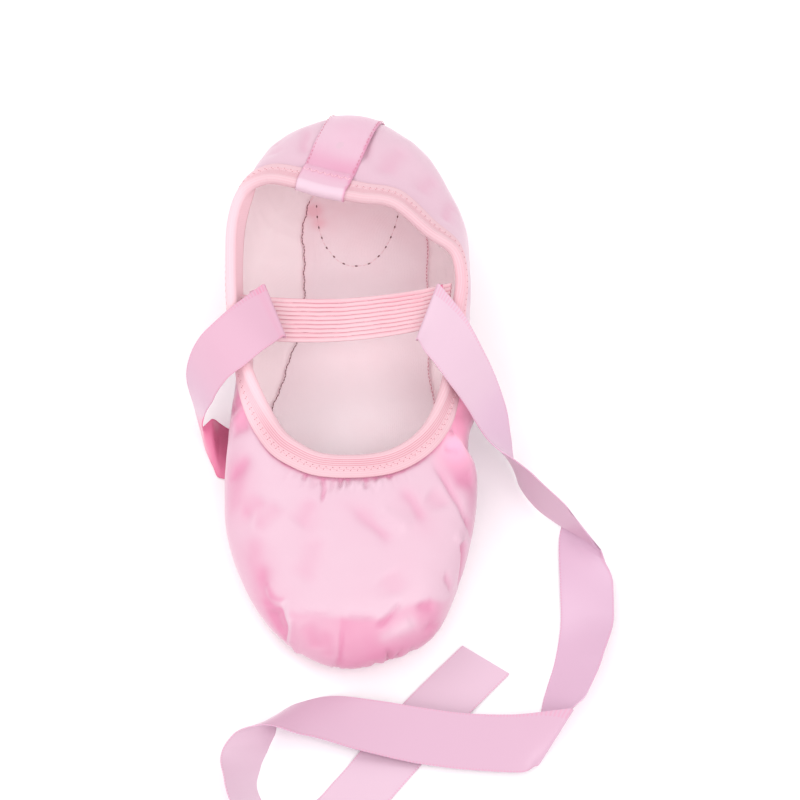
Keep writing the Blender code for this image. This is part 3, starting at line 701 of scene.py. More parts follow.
# Creases of the satin, each along a line from one place and height to another: bow bends it to
# the side, width is how far it spreads, depth is how deep it sinks (a ridge is negative), and lap
# is how sharply one side falls off, as where a fold lies over.  A row holds place a, height a,
# place b, height b, bow, width, depth and lap.
CREASES = [
    # fold with a pocket behind it, low on the left of the toe
    (25.50, 0.26, 26.35, 0.28, 0.10, 0.0018, -0.0008, 0.3),
    (26.34, 0.29, 26.50, 0.00, 0.06, 0.0016, -0.0018, 0.8),
    (26.46, 0.14, 26.80, -0.18, 0.02, 0.0016, -0.0010, 0.8),
    (25.90, 0.19, 26.26, 0.06, 0.00, 0.0032, 0.0018, 0.0),
    # upright crease at the tip of the toe and tucks to its right
    (27.92, 0.34, 27.80, -0.30, 0.02, 0.0013, 0.0010, 0.6),
    (0.92, 0.14, 0.98, -0.30, 0.02, 0.0011, 0.0019, 0.7),
    (1.20, 0.08, 1.14, -0.30, 0.00, 0.0010, 0.0017, 0.4),
    (1.52, 0.05, 1.50, -0.30, 0.00, 0.0009, 0.0012, 0.4),
    (0.55, 0.05, 0.75, -0.30, 0.00, 0.0014, 0.0008, 0.0),
    # where the satin turns down over the front of the toe
    (26.55, 0.30, 27.85, 0.36, 0.00, 0.0015, 0.0005, 0.5),
    (27.95, 0.36, 0.80, 0.31, 0.00, 0.0014, 0.0006, 0.5),
    (0.68, 0.25, 1.38, 0.37, 0.04, 0.0013, 0.0010, 0.6),
    (1.00, 0.18, 1.55, 0.22, 0.05, 0.0030, -0.0008, 0.0),
    (1.75, 0.33, 2.25, 0.20, -0.10, 0.0024, 0.0009, 0.4),
    (1.85, 0.18, 2.35, 0.02, -0.06, 0.0026, 0.0008, 0.2),
    (26.85, 0.25, 27.30, 0.10, 0.05, 0.0034, 0.0007, 0.0),
    (27.45, 0.28, 27.60, 0.04, 0.02, 0.0026, 0.0005, 0.0),
    # dents low on the right side of the toe
    (3.72, 0.24, 3.14, -0.04, 0.10, 0.0026, 0.0032, 0.5),
    (3.50, 0.36, 3.66, 0.16, 0.05, 0.0020, -0.0009, 0.4),
    (2.70, 0.28, 2.92, 0.12, 0.04, 0.0020, 0.0010, 0.3),
    (3.95, 0.30, 4.05, 0.02, 0.05, 0.0026, 0.0009, 0.3),
    # pulls on the right of the ball
    (3.72, 0.86, 4.02, 0.10, 0.04, 0.0020, 0.0013, 0.7),
    (4.35, 0.80, 4.95, 0.52, 0.10, 0.0022, 0.0012, 0.4),
    (4.80, 0.84, 5.60, 0.44, 0.12, 0.0024, 0.0016, 0.5),
    (5.45, 0.60, 5.20, 0.22, 0.10, 0.0030, 0.0013, 0.2),
    (5.74, 0.85, 5.70, -0.20, 0.00, 0.0048, 0.0024, 0.2),
    (6.36, 0.80, 6.36, -0.20, 0.00, 0.0055, -0.0026, 0.0),
    (5.85, 0.66, 6.15, 0.25, 0.05, 0.0026, 0.0012, 0.3),
    (4.60, 0.50, 4.95, 0.22, -0.10, 0.0040, 0.0010, 0.0),
    # long shallow pulls over the vamp
    (27.85, 0.84, 1.45, 0.62, 0.22, 0.0030, 0.0009, 0.3),
    (0.95, 0.80, 2.05, 0.64, 0.10, 0.0034, -0.0011, 0.0),
    (2.05, 0.86, 2.65, 0.60, 0.06, 0.0030, 0.0008, 0.2),
    (26.30, 0.82, 25.95, 0.66, 0.05, 0.0040, 0.0007, 0.0),
    (25.10, 0.72, 24.60, 0.46, 0.10, 0.0040, 0.0010, 0.0),
    (24.50, 0.66, 24.10, 0.36, 0.10, 0.0034, 0.0010, 0.0),
    (26.95, 0.70, 26.60, 0.42, 0.05, 0.0050, 0.0008, 0.0),
    (1.00, 0.52, 1.30, 0.40, 0.05, 0.0050, 0.0006, 0.0),
    (3.10, 0.74, 3.50, 0.54, 0.08, 0.0036, 0.0009, 0.0),
    (25.30, 0.40, 25.55, 0.14, 0.04, 0.0030, 0.0009, 0.2),
    # short dents and puffs right under the elastic, and one longer crease
    (26.68, 0.93, 26.94, 0.79, 0.00, 0.0009, 0.0011, 0.3),
    (27.58, 0.94, 27.66, 0.885, 0.00, 0.0009, 0.0013, 0.2),
    (27.95, 0.94, 27.95, 0.895, 0.00, 0.0009, 0.0011, 0.2),
    (0.78, 0.94, 0.70, 0.87, 0.00, 0.0009, 0.0014, 0.2),
    (1.20, 0.94, 1.22, 0.885, 0.00, 0.0009, 0.0012, 0.2),
    (1.72, 0.94, 1.80, 0.88, 0.00, 0.0009, 0.0012, 0.2),
    (25.60, 0.94, 25.75, 0.87, 0.00, 0.0009, 0.0010, 0.2),
    (27.66, 0.905, 27.94, 0.90, 0.00, 0.0019, -0.0008, 0.0),
    (0.02, 0.90, 0.66, 0.895, 0.00, 0.0020, -0.0009, 0.0),
    (0.88, 0.90, 1.66, 0.885, 0.00, 0.0018, -0.0008, 0.0),
    # left of the ball and the waist
    (23.35, 0.70, 23.20, 0.30, 0.10, 0.0030, 0.0010, 0.2),
    (22.65, 0.78, 22.35, 0.36, 0.06, 0.0028, 0.0014, 0.3),
    (22.05, 0.74, 21.85, 0.20, 0.05, 0.0026, 0.0011, 0.3),
    (21.30, 0.66, 21.45, 0.10, 0.08, 0.0028, 0.0010, 0.2),
    (20.40, 0.60, 20.60, 0.05, 0.05, 0.0030, 0.0009, 0.0),
    # right waist
    (6.60, 0.70, 6.85, 0.10, 0.08, 0.0028, 0.0012, 0.3),
    (7.40, 0.66, 7.30, 0.06, 0.05, 0.0026, 0.0010, 0.2),
    (8.40, 0.62, 8.60, 0.05, 0.05, 0.0030, 0.0009, 0.0),
    # hood over the heel
    (13.20, 0.74, 13.30, 0.34, 0.08, 0.0024, 0.0010, 0.4),
    (12.60, 0.80, 12.30, 0.40, 0.10, 0.0040, 0.0009, 0.0),
    (11.60, 0.74, 11.20, 0.34, 0.10, 0.0040, 0.0009, 0.0),
    (10.60, 0.70, 10.50, 0.28, 0.10, 0.0034, 0.0010, 0.2),
    (15.10, 0.76, 15.20, 0.40, -0.06, 0.0024, 0.0010, 0.4),
    (16.10, 0.72, 16.20, 0.34, -0.10, 0.0036, 0.0008, 0.0),
    (17.30, 0.66, 17.20, 0.26, -0.06, 0.0034, 0.0009, 0.0),
    (18.60, 0.60, 18.40, 0.10, -0.06, 0.0030, 0.0010, 0.2),
]
# Soft folds of the lining, in the same columns
LINING_FOLDS = [
    (17.2, 0.86, 18.6, 0.30, 0.20, 0.0040, 0.0016, 0.2),
    (18.4, 0.86, 19.6, 0.34, 0.10, 0.0034, 0.0014, 0.2),
    (20.4, 0.80, 20.8, 0.20, 0.00, 0.0030, 0.0010, 0.0),
    (22.2, 0.80, 22.9, 0.15, 0.05, 0.0026, 0.0018, 0.5),
    (5.6, 0.80, 5.2, 0.20, 0.00, 0.0030, 0.0010, 0.0),
    (8.6, 0.80, 8.8, 0.20, 0.00, 0.0030, 0.0010, 0.0),
]
GATHER_PLACES = (-3.6, 3.0)      # where the vamp is drawn in under the elastic
GATHER_COUNT = 40
PLEAT_PLACES = ((-4.6, 4.6, 64), (9.8, 18.0, 46))   # turned under the toe and under the heel
CREASE_SEED = 7
WANDER, WANDER_SIZE, WANDER_SEEDS = 0.0012, 0.007, (4.0, 6.0, 9.0)
LINE_POINTS = 13             # a line on the last is measured between this many points
TAPER = 0.3                  # share of a crease over which each of its ends runs out

# Painted shade: lines as above, with how far each spreads and how strong it is; a negative amount
# paints a highlight
SHADES = [
    # pocket low on the left of the toe
    (25.80, 0.20, 26.30, 0.10, 0.00, 0.0035, 0.60),
    (26.18, 0.22, 26.38, 0.02, 0.06, 0.0011, 0.60),
    (26.32, 0.29, 26.50, 0.02, 0.06, 0.0010, -0.70),
    (25.62, 0.27, 26.20, 0.30, 0.08, 0.0010, 0.40),
    (0.80, 0.06, 1.90, 0.03, 0.00, 0.0045, 0.22),
    (1.75, 0.24, 2.20, 0.18, 0.00, 0.0030, 0.12),
    # left side
    (25.30, 0.06, 22.60, 0.12, 0.00, 0.0100, 0.32),
    (25.10, 0.34, 26.10, 0.24, 0.00, 0.0100, 0.12),
    (23.30, 0.46, 23.90, 0.42, 0.00, 0.0055, 0.28),
    (24.90, 0.36, 25.35, 0.28, 0.00, 0.0045, 0.22),
    (22.20, 0.75, 21.90, 0.40, 0.00, 0.0070, 0.45),
    (21.40, 0.62, 22.30, 0.66, 0.00, 0.0054, 0.85),
    # vamp
    (27.95, 0.80, 1.30, 0.66, 0.20, 0.0036, 0.07),
    (26.70, 0.90, 26.94, 0.82, 0.00, 0.0012, 0.15),
    (26.20, 0.84, 26.50, 0.70, 0.00, 0.0050, 0.14),
    # painted highlights on the puffs between the gathers
    (27.68, 0.900, 27.76, 0.896, 0.00, 0.0013, -0.40),
    (27.96, 0.900, 0.06, 0.894, 0.00, 0.0014, -0.40),
    (0.36, 0.896, 0.48, 0.892, 0.00, 0.0014, -0.40),
    (0.92, 0.890, 1.02, 0.886, 0.00, 0.0014, -0.40),
    (1.34, 0.886, 1.46, 0.880, 0.00, 0.0013, -0.40),
    (2.30, 0.76, 2.70, 0.60, 0.00, 0.0060, 0.16),
    # right side
    (5.50, 0.80, 4.70, 0.45, 0.00, 0.0080, 0.32),
    (4.75, 0.50, 4.35, 0.05, 0.00, 0.0060, 0.36),
    (4.20, 0.72, 4.35, 0.50, 0.00, 0.0040, 0.20),
    (3.60, 0.20, 3.30, 0.10, 0.00, 0.0026, 0.10),
    (2.72, 0.26, 2.92, 0.12, 0.00, 0.0022, 0.16),
    (5.80, 0.50, 6.60, 0.40, 0.00, 0.0080, 0.30),
]
# Painted shade where the satin goes down over the front of the toe: each place round it (27 is 1
# section left of the tip, 29 is 1 right of it), up to which height, and how much
TOE_PAINTED_SHADE = [
    (25.00, 0.12, 0.00), (25.60, 0.17, 0.16), (26.10, 0.24, 0.30), (26.50, 0.27, 0.34),
    (27.20, 0.33, 0.42), (27.88, 0.345, 0.44), (27.94, 0.345, 0.62), (28.50, 0.33, 0.64),
    (28.85, 0.31, 0.60), (29.20, 0.32, 0.46), (29.45, 0.33, 0.42), (29.70, 0.32, 0.44),
    (30.10, 0.29, 0.48), (30.60, 0.14, 0.34), (31.20, 0.02, 0.00),
]
# a paler patch in the toe's painted shade
TOE_LIGHT_PATCH = (0.95, 0.21, 1.50, 0.22, 0.00, 0.0026, -0.34)
# Painted light: a clear bright pink and a faint glow on the satin beside the elastic, along lines
# as above
PAINTED_PINK_LIGHTS = [
    (21.40, 0.62, 22.30, 0.66, 0.00, 0.0050, 0.35),
    (5.50, 0.84, 6.50, 0.62, 0.00, 0.0075, 0.80),
    (4.90, 0.62, 5.70, 0.30, 0.00, 0.0075, 0.65),
]


def near_line(points, normals, place_a, height_a, place_b, height_b, bow, width):
    """The points near a line on the last, how far each lies to its side, and how far along it."""
    place_b += len(LAST) * round((place_a - place_b) / len(LAST))
    t = np.linspace(0.0, 1.0, LINE_POINTS)
    line = last_point(place_a + (place_b - place_a) * t + bow * 4 * t * (1 - t),
                      height_a + (height_b - height_a) * t)
    low, high = line.min(axis=0) - 3 * width, line.max(axis=0) + 3 * width
    near = np.nonzero(np.all((points > low) & (points < high), axis=1))[0]
    gap = np.full(len(near), 9.0)
    share, side = np.zeros(len(near)), np.ones(len(near))
    for i, (start, run) in enumerate(zip(line, np.diff(line, axis=0))):
        away = points[near] - start
        s = np.clip(away @ run / (run @ run), 0.0, 1.0)
        away -= s[:, None] * run
        far = length(away)
        closer = far < gap
        gap[closer] = far[closer]
        share[closer] = ((i + s) / (LINE_POINTS - 1))[closer]
        turned = np.einsum("ij,ij->i", np.cross(normals[near], run), away)
        side[closer] = np.sign(turned)[closer]
    return near, gap * side, share


def creased(points, normals, table):
    """How far the creases lift or sink each point."""
    relief = np.zeros(len(points))
    for *line, depth, lap in table:
        near, gap, share = near_line(points, normals, *line)
        spread = line[-1] * np.where(gap > 0, 1.0, 1.0 - 0.7 * lap)
        taper = smoothstep(share / TAPER) * smoothstep((1 - share) / TAPER)
        relief[near] -= depth * taper * peak(gap, spread)
    return relief


def shaded(points, normals, table):
    """How strong the shades are at each point."""
    shade = np.zeros(len(points))
    for *line, amount in table:
        near, gap, _ = near_line(points, normals, *line)
        shade[near] += amount * peak(gap, line[-1])
    return shade


def gathers_and_pleats():
    """Creases made by rule: the vamp's gathers under the elastic, and pleats turned under."""
    chance = np.random.default_rng(CREASE_SEED)
    rows = []
    for place in np.linspace(*GATHER_PLACES, GATHER_COUNT):
        place += chance.normal(0.0, 0.05)
        start = float(height_below_rim(place, BINDING_OUTER - 0.003))
        end = float(height_below_rim(place, BINDING_OUTER + chance.uniform(0.002, 0.007)))
        middle = 1.0 - abs(place + 0.3) / 4.2
        rows.append((place, start, place + chance.normal(0.0, 0.06), end, 0.0,
                     chance.uniform(0.0007, 0.0011), chance.uniform(0.0003, 0.0008) * middle,
                     0.2))
    for first, last, count in PLEAT_PLACES:
        for place in np.linspace(first, last, count):
            place += chance.normal(0.0, 0.03)
            rows.append((place, -1.05, place + chance.normal(0.0, 0.05),
                         chance.uniform(-0.20, 0.05), 0.0, chance.uniform(0.0006, 0.0011),
                         chance.uniform(0.0003, 0.0007), 0.5))
    return rows


def soft_unevenness(points, size, seed):
    """Slow noise between about -1 and 1, for cloth that never lies quite even."""
    shift = Vector((seed, 0.0, 0.0))
    return np.array([noise.noise(Vector(point) / size + shift) for point in points])


# ----------------------------------------------------------------------------- upper and lining

UPPER_COLUMNS, UPPER_ROWS = 400, (30, 82)        # rows below and above the widest point
LINING_COLUMNS, LINING_ROWS = 260, (16, 44)
TOE_DENSITY = 0.35           # the grid is this much finer at the toe than on average
SATIN_THICKNESS = 0.0005
LINING_DEPTH = 0.0009        # from the satin's face to the lining
LINING_THICKNESS = 0.0004
EVEN_UNDER, RELIEF_FADE = 0.0015, 0.004      # the satin lies even under the elastic's edge
VAMP_PUFF = 0.0010           # how far the gathered satin stands out below the elastic
PUFF_BELOW, PUFF_HEIGHT = 0.014, 0.007       # how far below the collar's edge, and how high
PUFF_Y, PUFF_LENGTH = -0.075, 0.03
# Cloth never lies quite even: how far it strays, over what length, and which noise
SLOW_UNEVENNESS, SLOW_SIZE, SLOW_SEED = 0.0006, 0.022, 3.0
FINE_UNEVENNESS, FINE_SIZE, FINE_SEED = 0.0003, 0.008, 8.0
LINING_UNEVENNESS, LINING_SIZE, LINING_SEED = 0.0004, 0.016, 5.0
GATHER_SIZE, GATHER_SEED = 0.0022, 2.0
TROUGH_SHADE = 300.0         # how much shade is painted in a crease, for each metre that it sinks
DEEPEST_TROUGH, DEEPEST_FOLD = 0.002, 0.0022


def upper_places(columns):
    turn = np.linspace(0.0, 1.0, columns, endpoint=False)
    return len(LAST) * (turn - TOE_DENSITY * np.sin(2 * math.pi * turn) / (2 * math.pi))


def below_edge(rows):
    """How far each point of a wall lies below the collar's edge, along the wall."""
    return run_along(rows[::-1])[::-1].ravel()


def trough_shade(relief):
    return TROUGH_SHADE * np.clip(-relief, 0.0, DEEPEST_TROUGH)


def worked_wall(places, heights):
    """The upper's outer face with its creases: points, the same wandering a little as the creases
    do, normals, how far each was moved, and the shade painted in its creases."""
    rows, normals, _ = last_frame(places, heights[:, None])
    flat, out, below = rows.reshape(-1, 3), normals.reshape(-1, 3), below_edge(rows)
    height = np.repeat(heights, len(places))
    clear = smoothstep((below - BINDING_OUTER + EVEN_UNDER) / RELIEF_FADE)
    wandering = flat + WANDER * np.stack([soft_unevenness(flat, WANDER_SIZE, seed)
                                          for seed in WANDER_SEEDS], -1)
    hand = creased(wandering, out, CREASES)
    rule = creased(flat, out, gathers_and_pleats()) * np.where(height < 0, 1.0, clear)
    puff = (VAMP_PUFF * peak(below - PUFF_BELOW, PUFF_HEIGHT)
            * peak(flat[:, 1] - PUFF_Y, PUFF_LENGTH))
    uneven = (soft_unevenness(flat, SLOW_SIZE, SLOW_SEED) * SLOW_UNEVENNESS
              + soft_unevenness(flat, FINE_SIZE, FINE_SEED) * FINE_UNEVENNESS)
    relief = clear * (hand + puff + smoothstep((height + 0.1) / 0.2) * uneven) + rule
    return flat, wandering, out, relief, trough_shade(hand + 0.6 * rule)


def satin_upper(material):
    places = upper_places(UPPER_COLUMNS)
    below, above = UPPER_ROWS
    heights = np.concatenate([np.linspace(-1.0, 0.0, below, endpoint=False),
                              1.0 - np.linspace(1.0, 0.0, above) ** 1.15])
    flat, wandering, out, relief, shade = worked_wall(places, heights)
    rows = (flat + relief[:, None] * out).reshape(len(heights), len(places), 3)
    # painted shade in the creases, along the listed lines, over the front of the toe and under the
    # elastic's edge; painted light beside the elastic
    shade += shaded(wandering, out, [*SHADES, TOE_LIGHT_PATCH])
    shade += painted_toe_shade(np.tile(places, len(heights)), np.repeat(heights, len(places)))
    shade += painted_shade_under_elastic(rows, flat)
    return cloth("upper_satin", rows, material, SATIN_THICKNESS, ring=True,
                 marks={"shade": shade, "painted_pink_light": shaded(wandering, out, PAINTED_PINK_LIGHTS)})


def painted_shade_under_elastic(rows, flat):
    """Painted shade right under the elastic's edge round the vamp, stronger in each small gather.
    """
    vamp = smoothstep((-0.010 - flat[:, 1]) / 0.012)
    uneven = 0.5 + 0.5 * soft_unevenness(flat, GATHER_SIZE, GATHER_SEED)
    return vamp * (0.35 + 0.75 * uneven) * peak(below_edge(rows) - BINDING_OUTER, 0.0008)


def painted_toe_shade(place, height):
    at, top, amount = np.array(TOE_PAINTED_SHADE).T
    place = (place + HEEL_SECTION) % len(LAST) + HEEL_SECTION
    return (np.interp(place, at, amount)
            * smoothstep((np.interp(place, at, top) - height) / 0.05 + 0.5))


def lining(material):
    """Cotton that follows the satin inside, with soft folds of its own."""
    places = upper_places(LINING_COLUMNS)
    below, above = LINING_ROWS
    heights = np.concatenate([np.linspace(-1.0, 0.0, below, endpoint=False),
                              np.linspace(0.0, 1.0, above)])
    flat, _, out, relief, _ = worked_wall(places, heights)
    height = np.repeat(heights, len(places))
    drawn = creased(flat, out, LINING_FOLDS)
    folds = drawn + soft_unevenness(flat, LINING_SIZE, LINING_SEED) * LINING_UNEVENNESS
    folds = (np.clip(folds, -DEEPEST_FOLD, 0.0) * smoothstep(height / 0.2)
             * smoothstep((1 - height) / 0.2))
    made = flat + (relief - LINING_DEPTH + folds)[:, None] * out
    # painted shade in the folds, and a faint painted glow over the back half, less in the folds
    shade = trough_shade(drawn)
    painted_glow = smoothstep((flat[:, 1] + 0.04) / 0.05) - shade
    return cloth("lining", made.reshape(len(heights), len(places), 3), material,
                 LINING_THICKNESS, ring=True, marks={"shade": shade, "painted_glow": painted_glow})


# ------------------------------------------------------------------------ elastic, tab and strap

BINDING_COLUMNS = 360
OUTER_ROWS, BEND_ROWS, INNER_ROWS = 30, 9, 10
BINDING_GROOVES = (0.0006, 0.0014, 0.0022, 0.0030)   # below the collar's edge
BINDING_SEAM = 0.0043
BINDING_SLACK = 0.0024       # how far its inner edge hangs off the lining on the left
GROOVE_WIDTH = 0.0002


def grooves(reach, places, width):
    return peak(reach[..., None] - np.array(places), width).sum(axis=-1)


def bump_at(places, first, last):
    """1 between two places round the shoe, falling softly to 0 outside them."""
    return smoothstep((places - first) / 1.5) * smoothstep((last - places) / 1.5)


def over_edge(rim, normal, up, stand, inside, angles):
    """Lines of a cloth where it turns over the collar's edge, from its face to its back."""
    middle = rim - (WALL / 2) * normal
    return [middle + (stand + inside) / 2 * (math.cos(angle) * normal + math.sin(angle) * up)
            for angle in np.radians(angles)]


def binding(material):
    """Elastic folded over the collar's edge, with its grooves outside."""
    places = upper_places(BINDING_COLUMNS)
    inside = WALL + BINDING_STAND
    reach = np.linspace(BINDING_OUTER, 0.0, OUTER_ROWS)
    groove = grooves(reach, BINDING_GROOVES, GROOVE_WIDTH)
    soft = 0.4 * grooves(reach, (BINDING_SEAM,), 2 * GROOVE_WIDTH)
    edge = smoothstep((reach - BINDING_OUTER + 0.0006) / 0.0006)
    stand = BINDING_STAND - 0.00012 * groove - 0.00010 * soft - 0.00010 * edge
    outer, _ = below_rim(places, reach[:, None], stand[:, None, None])
    bend = over_edge(*last_frame(places, 1.0), BINDING_STAND, inside,
                     np.linspace(15, 165, BEND_ROWS))
    share = np.linspace(0.0, 1.0, INNER_ROWS)[:, None]
    slack = BINDING_SLACK * share * bump_at(places, 16.0, 23.0)
    inner, _ = below_rim(places, BINDING_INNER * share, -(inside + slack)[..., None])
    rows = np.concatenate([outer, bend, inner])
    # painted shade in the grooves, along the seam, at the outer edge and on the right side;
    # painted light, a paler pink, on the left side and on the right side
    shade = np.zeros(rows.shape[:2])
    shade[:len(reach)] = (0.62 * groove + 0.5 * soft + 0.3 * edge)[:, None]
    right = bump_at(places, 5.6, 10.5)
    shade += 0.3 * right
    lift = (0.65 * bump_at(places, 15.8, 23.6) + 0.5 * right) * (1 - 0.6 * np.clip(shade, 0, 1))
    return cloth("collar_elastic", rows, material, BINDING_THICKNESS, 0.0, ring=True,
                 marks={"shade": shade, "lift": lift})


def seam_on_binding(reach, stand, start=0.0):
    """A line along the binding, from one side of the back tab round the toe to the other."""
    half = TAB_WIDTH / 2 + 0.0004
    first = float(beside_heel(1.0, -half)) - len(LAST) + start
    places = np.linspace(first, float(beside_heel(1.0, half)), 700)
    return below_rim(places, reach, stand)


TAB_STAND, TAB_OVER_BINDING = 0.0004, 0.0018     # off the wall, and where it is over the elastic
TAB_THICKNESS = 0.0005
TAB_EDGE = 0.0013            # from the tab's side to the middle of its turned edge
TAB_TOP = 0.062              # how far below the rim its rows grow closer
TAB_LOW_ROWS, TAB_HIGH_ROWS, TAB_BEND_ROWS, TAB_HEM_ROWS, TAB_ACROSS = 26, 64, 10, 6, 41


def tab_frame(height, stand, across):
    """Points on the back tab and frames of the wall under it."""
    wall, normal, up = last_frame(beside_heel(height, across), height)
    return wall + stand * normal, wall, normal, up


def back_tab(material):
    """Satin strip up the heel, its long sides turned under, folded over the elastic."""
    reach = np.linspace(TAB_TOP, 0.0, TAB_HIGH_ROWS)
    top = height_below_rim(float(HEEL_SECTION), reach)
    heights = np.concatenate([np.linspace(TAB_FOOT, top[0], TAB_LOW_ROWS, endpoint=False), top])
    stand = TAB_STAND + (TAB_OVER_BINDING - TAB_STAND) * np.concatenate(
        [np.zeros(TAB_LOW_ROWS), smoothstep((0.0115 - reach) / 0.0034)])
    across = TAB_WIDTH / 2 * np.linspace(-1.0, 1.0, TAB_ACROSS)[:, None]
    side = TAB_WIDTH / 2 - np.abs(across)
    puckers = np.sin(heights * 61.0) * np.sin(heights * 37.0 + 1.0)
    hem = 0.00018 * peak(side - TAB_EDGE, 0.0007) - 0.00025 * peak(side, 0.0003)
    dip = -0.0005 * peak(heights - 0.62, 0.10) * np.cos(across * 260.0)
    lift = stand + hem * (1.0 + 0.5 * puckers) + dip
    outer, wall, normal, up = tab_frame(heights, lift[..., None], across)

    inside = WALL + TAB_OVER_BINDING
    bend = over_edge(wall[:, -1], normal[:, -1], up[:, -1], TAB_OVER_BINDING, inside,
                     np.linspace(18, 180, TAB_BEND_ROWS))
    low = height_below_rim(float(HEEL_SECTION), np.linspace(0.0005, TAB_HEM, TAB_HEM_ROWS))
    rows = np.concatenate([outer, np.stack(bend, axis=1), tab_frame(low, -inside, across)[0]], 1)
    beyond = np.zeros(rows.shape[1] - len(heights))
    wavy = np.concatenate([0.0004 * puckers, beyond])
    low_down = np.concatenate([peak(heights - 0.80, 0.12), beyond])
    # painted shade along the tab's sunk, turned-in edges, stronger and wavier on the right; the
    # tab is also deeper in a band high up
    seam = (peak(side - np.where(across > 0, 1.0, 0.0) * wavy, 0.0006)
            * np.where(across > 0, 1.3, 0.5))
    shade = 0.25 + 0.6 * seam + 0.35 * low_down
    # painted highlight: paler where the tab folds over the elastic
    shade[:, len(heights):] -= 0.25
    return cloth("back_tab_satin", rows, material, TAB_THICKNESS, 0.0, marks={"shade": shade})


def tab_seams():
    """The tab's sewn lines: one inside each long side, and one across it above the elastic."""
    heights = np.linspace(TAB_FOOT + 0.05, float(height_below_rim(HEEL_SECTION, 0.0125)), 160)
    sides = [tab_frame(heights, TAB_STAND + 0.0006, side * (TAB_WIDTH / 2 - TAB_EDGE * 0.5))
             for side in (-1, 1)]
    across = np.linspace(-TAB_WIDTH / 2 + 0.0008, TAB_WIDTH / 2 - 0.0008, 60)
    height = float(height_below_rim(HEEL_SECTION, BINDING_OUTER - 0.0008))
    point, _, normal, _ = tab_frame(np.full(60, height), TAB_OVER_BINDING + 0.00035, across)
    return [(point_, normal_) for point_, _, normal_, _ in sides], [(point, normal)]


STRAP_COLUMNS, STRAP_ROWS = 181, 73
STRAP_THICKNESS = 0.0009
STRAP_CORDS = 10
STRAP_RELIEF = 0.00024


def strap(material):
    """Corded elastic that hangs between the walls."""
    across = np.linspace(0.0, 1.0, STRAP_ROWS)[:, None]
    share = np.linspace(0.0, 1.0, STRAP_COLUMNS)
    sag = STRAP_SAG * UP * (4 * share * (1 - share))[:, None]
    front, back = (start + share[:, None] * (end - start) - sag
                   for start, end in np.array((STRAP_FRONT, STRAP_BACK)))
    rows = front + across[..., None] * (back - front)
    wander = 0.08 * np.sin(share * 17.0) + 0.04 * np.sin(share * 51.0 + 2.0)
    phase = across * STRAP_CORDS + wander * smoothstep(across * 6)
    groove = peak(phase - np.round(phase), 0.13)
    groove[(phase < 0.3) | (phase > STRAP_CORDS - 0.3)] = 0.0
    cord = np.cos(math.pi * (phase - np.floor(phase) - 0.5))
    normal = unit(np.cross(np.gradient(rows, axis=1), np.gradient(rows, axis=0)))
    rows = rows + ((cord - 0.6) * STRAP_RELIEF - groove * STRAP_RELIEF * 0.6)[..., None] * normal
    # painted shade in the grooves between the cords
    return cloth("instep_elastic", rows, material, STRAP_THICKNESS, 0.0,
                 marks={"shade": 0.12 + 0.75 * groove})


# ------------------------------------------------------------------------- insole, pads and arch

# Deeper marks on the insole: x, y, how far each spreads, how strong it is.  The first two are a
# pinkish stain by the heel's stitching, the third is painted shade over the heel, and the last two
# are soft deeper patches.
INSOLE_MARKS = [
    (-0.0150, 0.0860, 0.0030, 0.9), (-0.0130, 0.0800, 0.0026, 0.5),
    (0.0000, 0.0950, 0.0360, 0.45), (0.0020, -0.0600, 0.0500, 0.25),
    (-0.0150, 0.0400, 0.0120, 0.15),
]
HEEL_CUSHION = [(-0.014, 0.088), (-0.0135, 0.081), (-0.011, 0.071), (-0.008, 0.066),
                (-0.005, 0.0625), (0.0, 0.0604), (0.005, 0.061), (0.009, 0.064), (0.0125, 0.069),
                (0.0155, 0.077), (0.018, 0.088)]


INSOLE_ROWS, INSOLE_COLUMNS = 180, 44


def insole_edges(y):
    at, left, right = np.array(INSOLE).T
    wave = 0.0003 * np.sin(y * 310.0) + 0.0002 * np.sin(y * 830.0 + 1.0)
    return along(at, left, y) + wave, along(at, right, y) + 0.0003 * np.sin(y * 270.0 + 2.0)


def insole_level(x, y):
    """Height of the insole's face: pressed a little hollow, with a soft cushion at the heel."""
    spots = np.stack([x, y, 0 * x], -1).reshape(-1, 3)
    hollow = 0.0002 * soft_unevenness(spots, 0.03, 1.0).reshape(x.shape)
    cushion = 0.0004 * peak(((x - 0.002) / 0.013) ** 2 + ((y - 0.083) / 0.018) ** 2, 1.0)
    return INSOLE_TOP + arch(y) - 0.0002 + hollow + cushion


def insole(material):
    first, last = INSOLE[0][0], INSOLE[-1][0]
    y = first + (last - first) * 0.5 * (1 - np.cos(np.linspace(0, math.pi, INSOLE_ROWS)))[:, None]
    left, right = insole_edges(y)
    x = left + (right - left) * 0.5 * (1 - np.cos(np.linspace(0, math.pi, INSOLE_COLUMNS)))
    y = y + 0 * x
    side = np.minimum(x - left, right - x)
    z = insole_level(x, y) - 0.0003 * peak(side, 0.0004)
    # painted shade along the edges, where the insole meets the wall
    shade = 0.35 * peak(side, 0.0009)
    for mark_x, mark_y, reach, amount in INSOLE_MARKS:
        shade += amount * peak(np.hypot(x - mark_x, y - mark_y), reach)
    # a faint painted glow that grows towards the heel, as painted light
    return cloth("insole_board", np.stack([x, y, z], -1), material, INSOLE_THICKNESS,
                 marks={"shade": shade, "painted_glow": smoothstep((y - 0.005) / 0.05)})


def seam_line(x, y, z, facing):
    """A line to sew along, on a face that looks straight up (1) or down (-1)."""
    line = np.column_stack(np.broadcast_arrays(x, y, z))
    return line, np.tile((0.0, 0.0, facing), (len(line), 1))


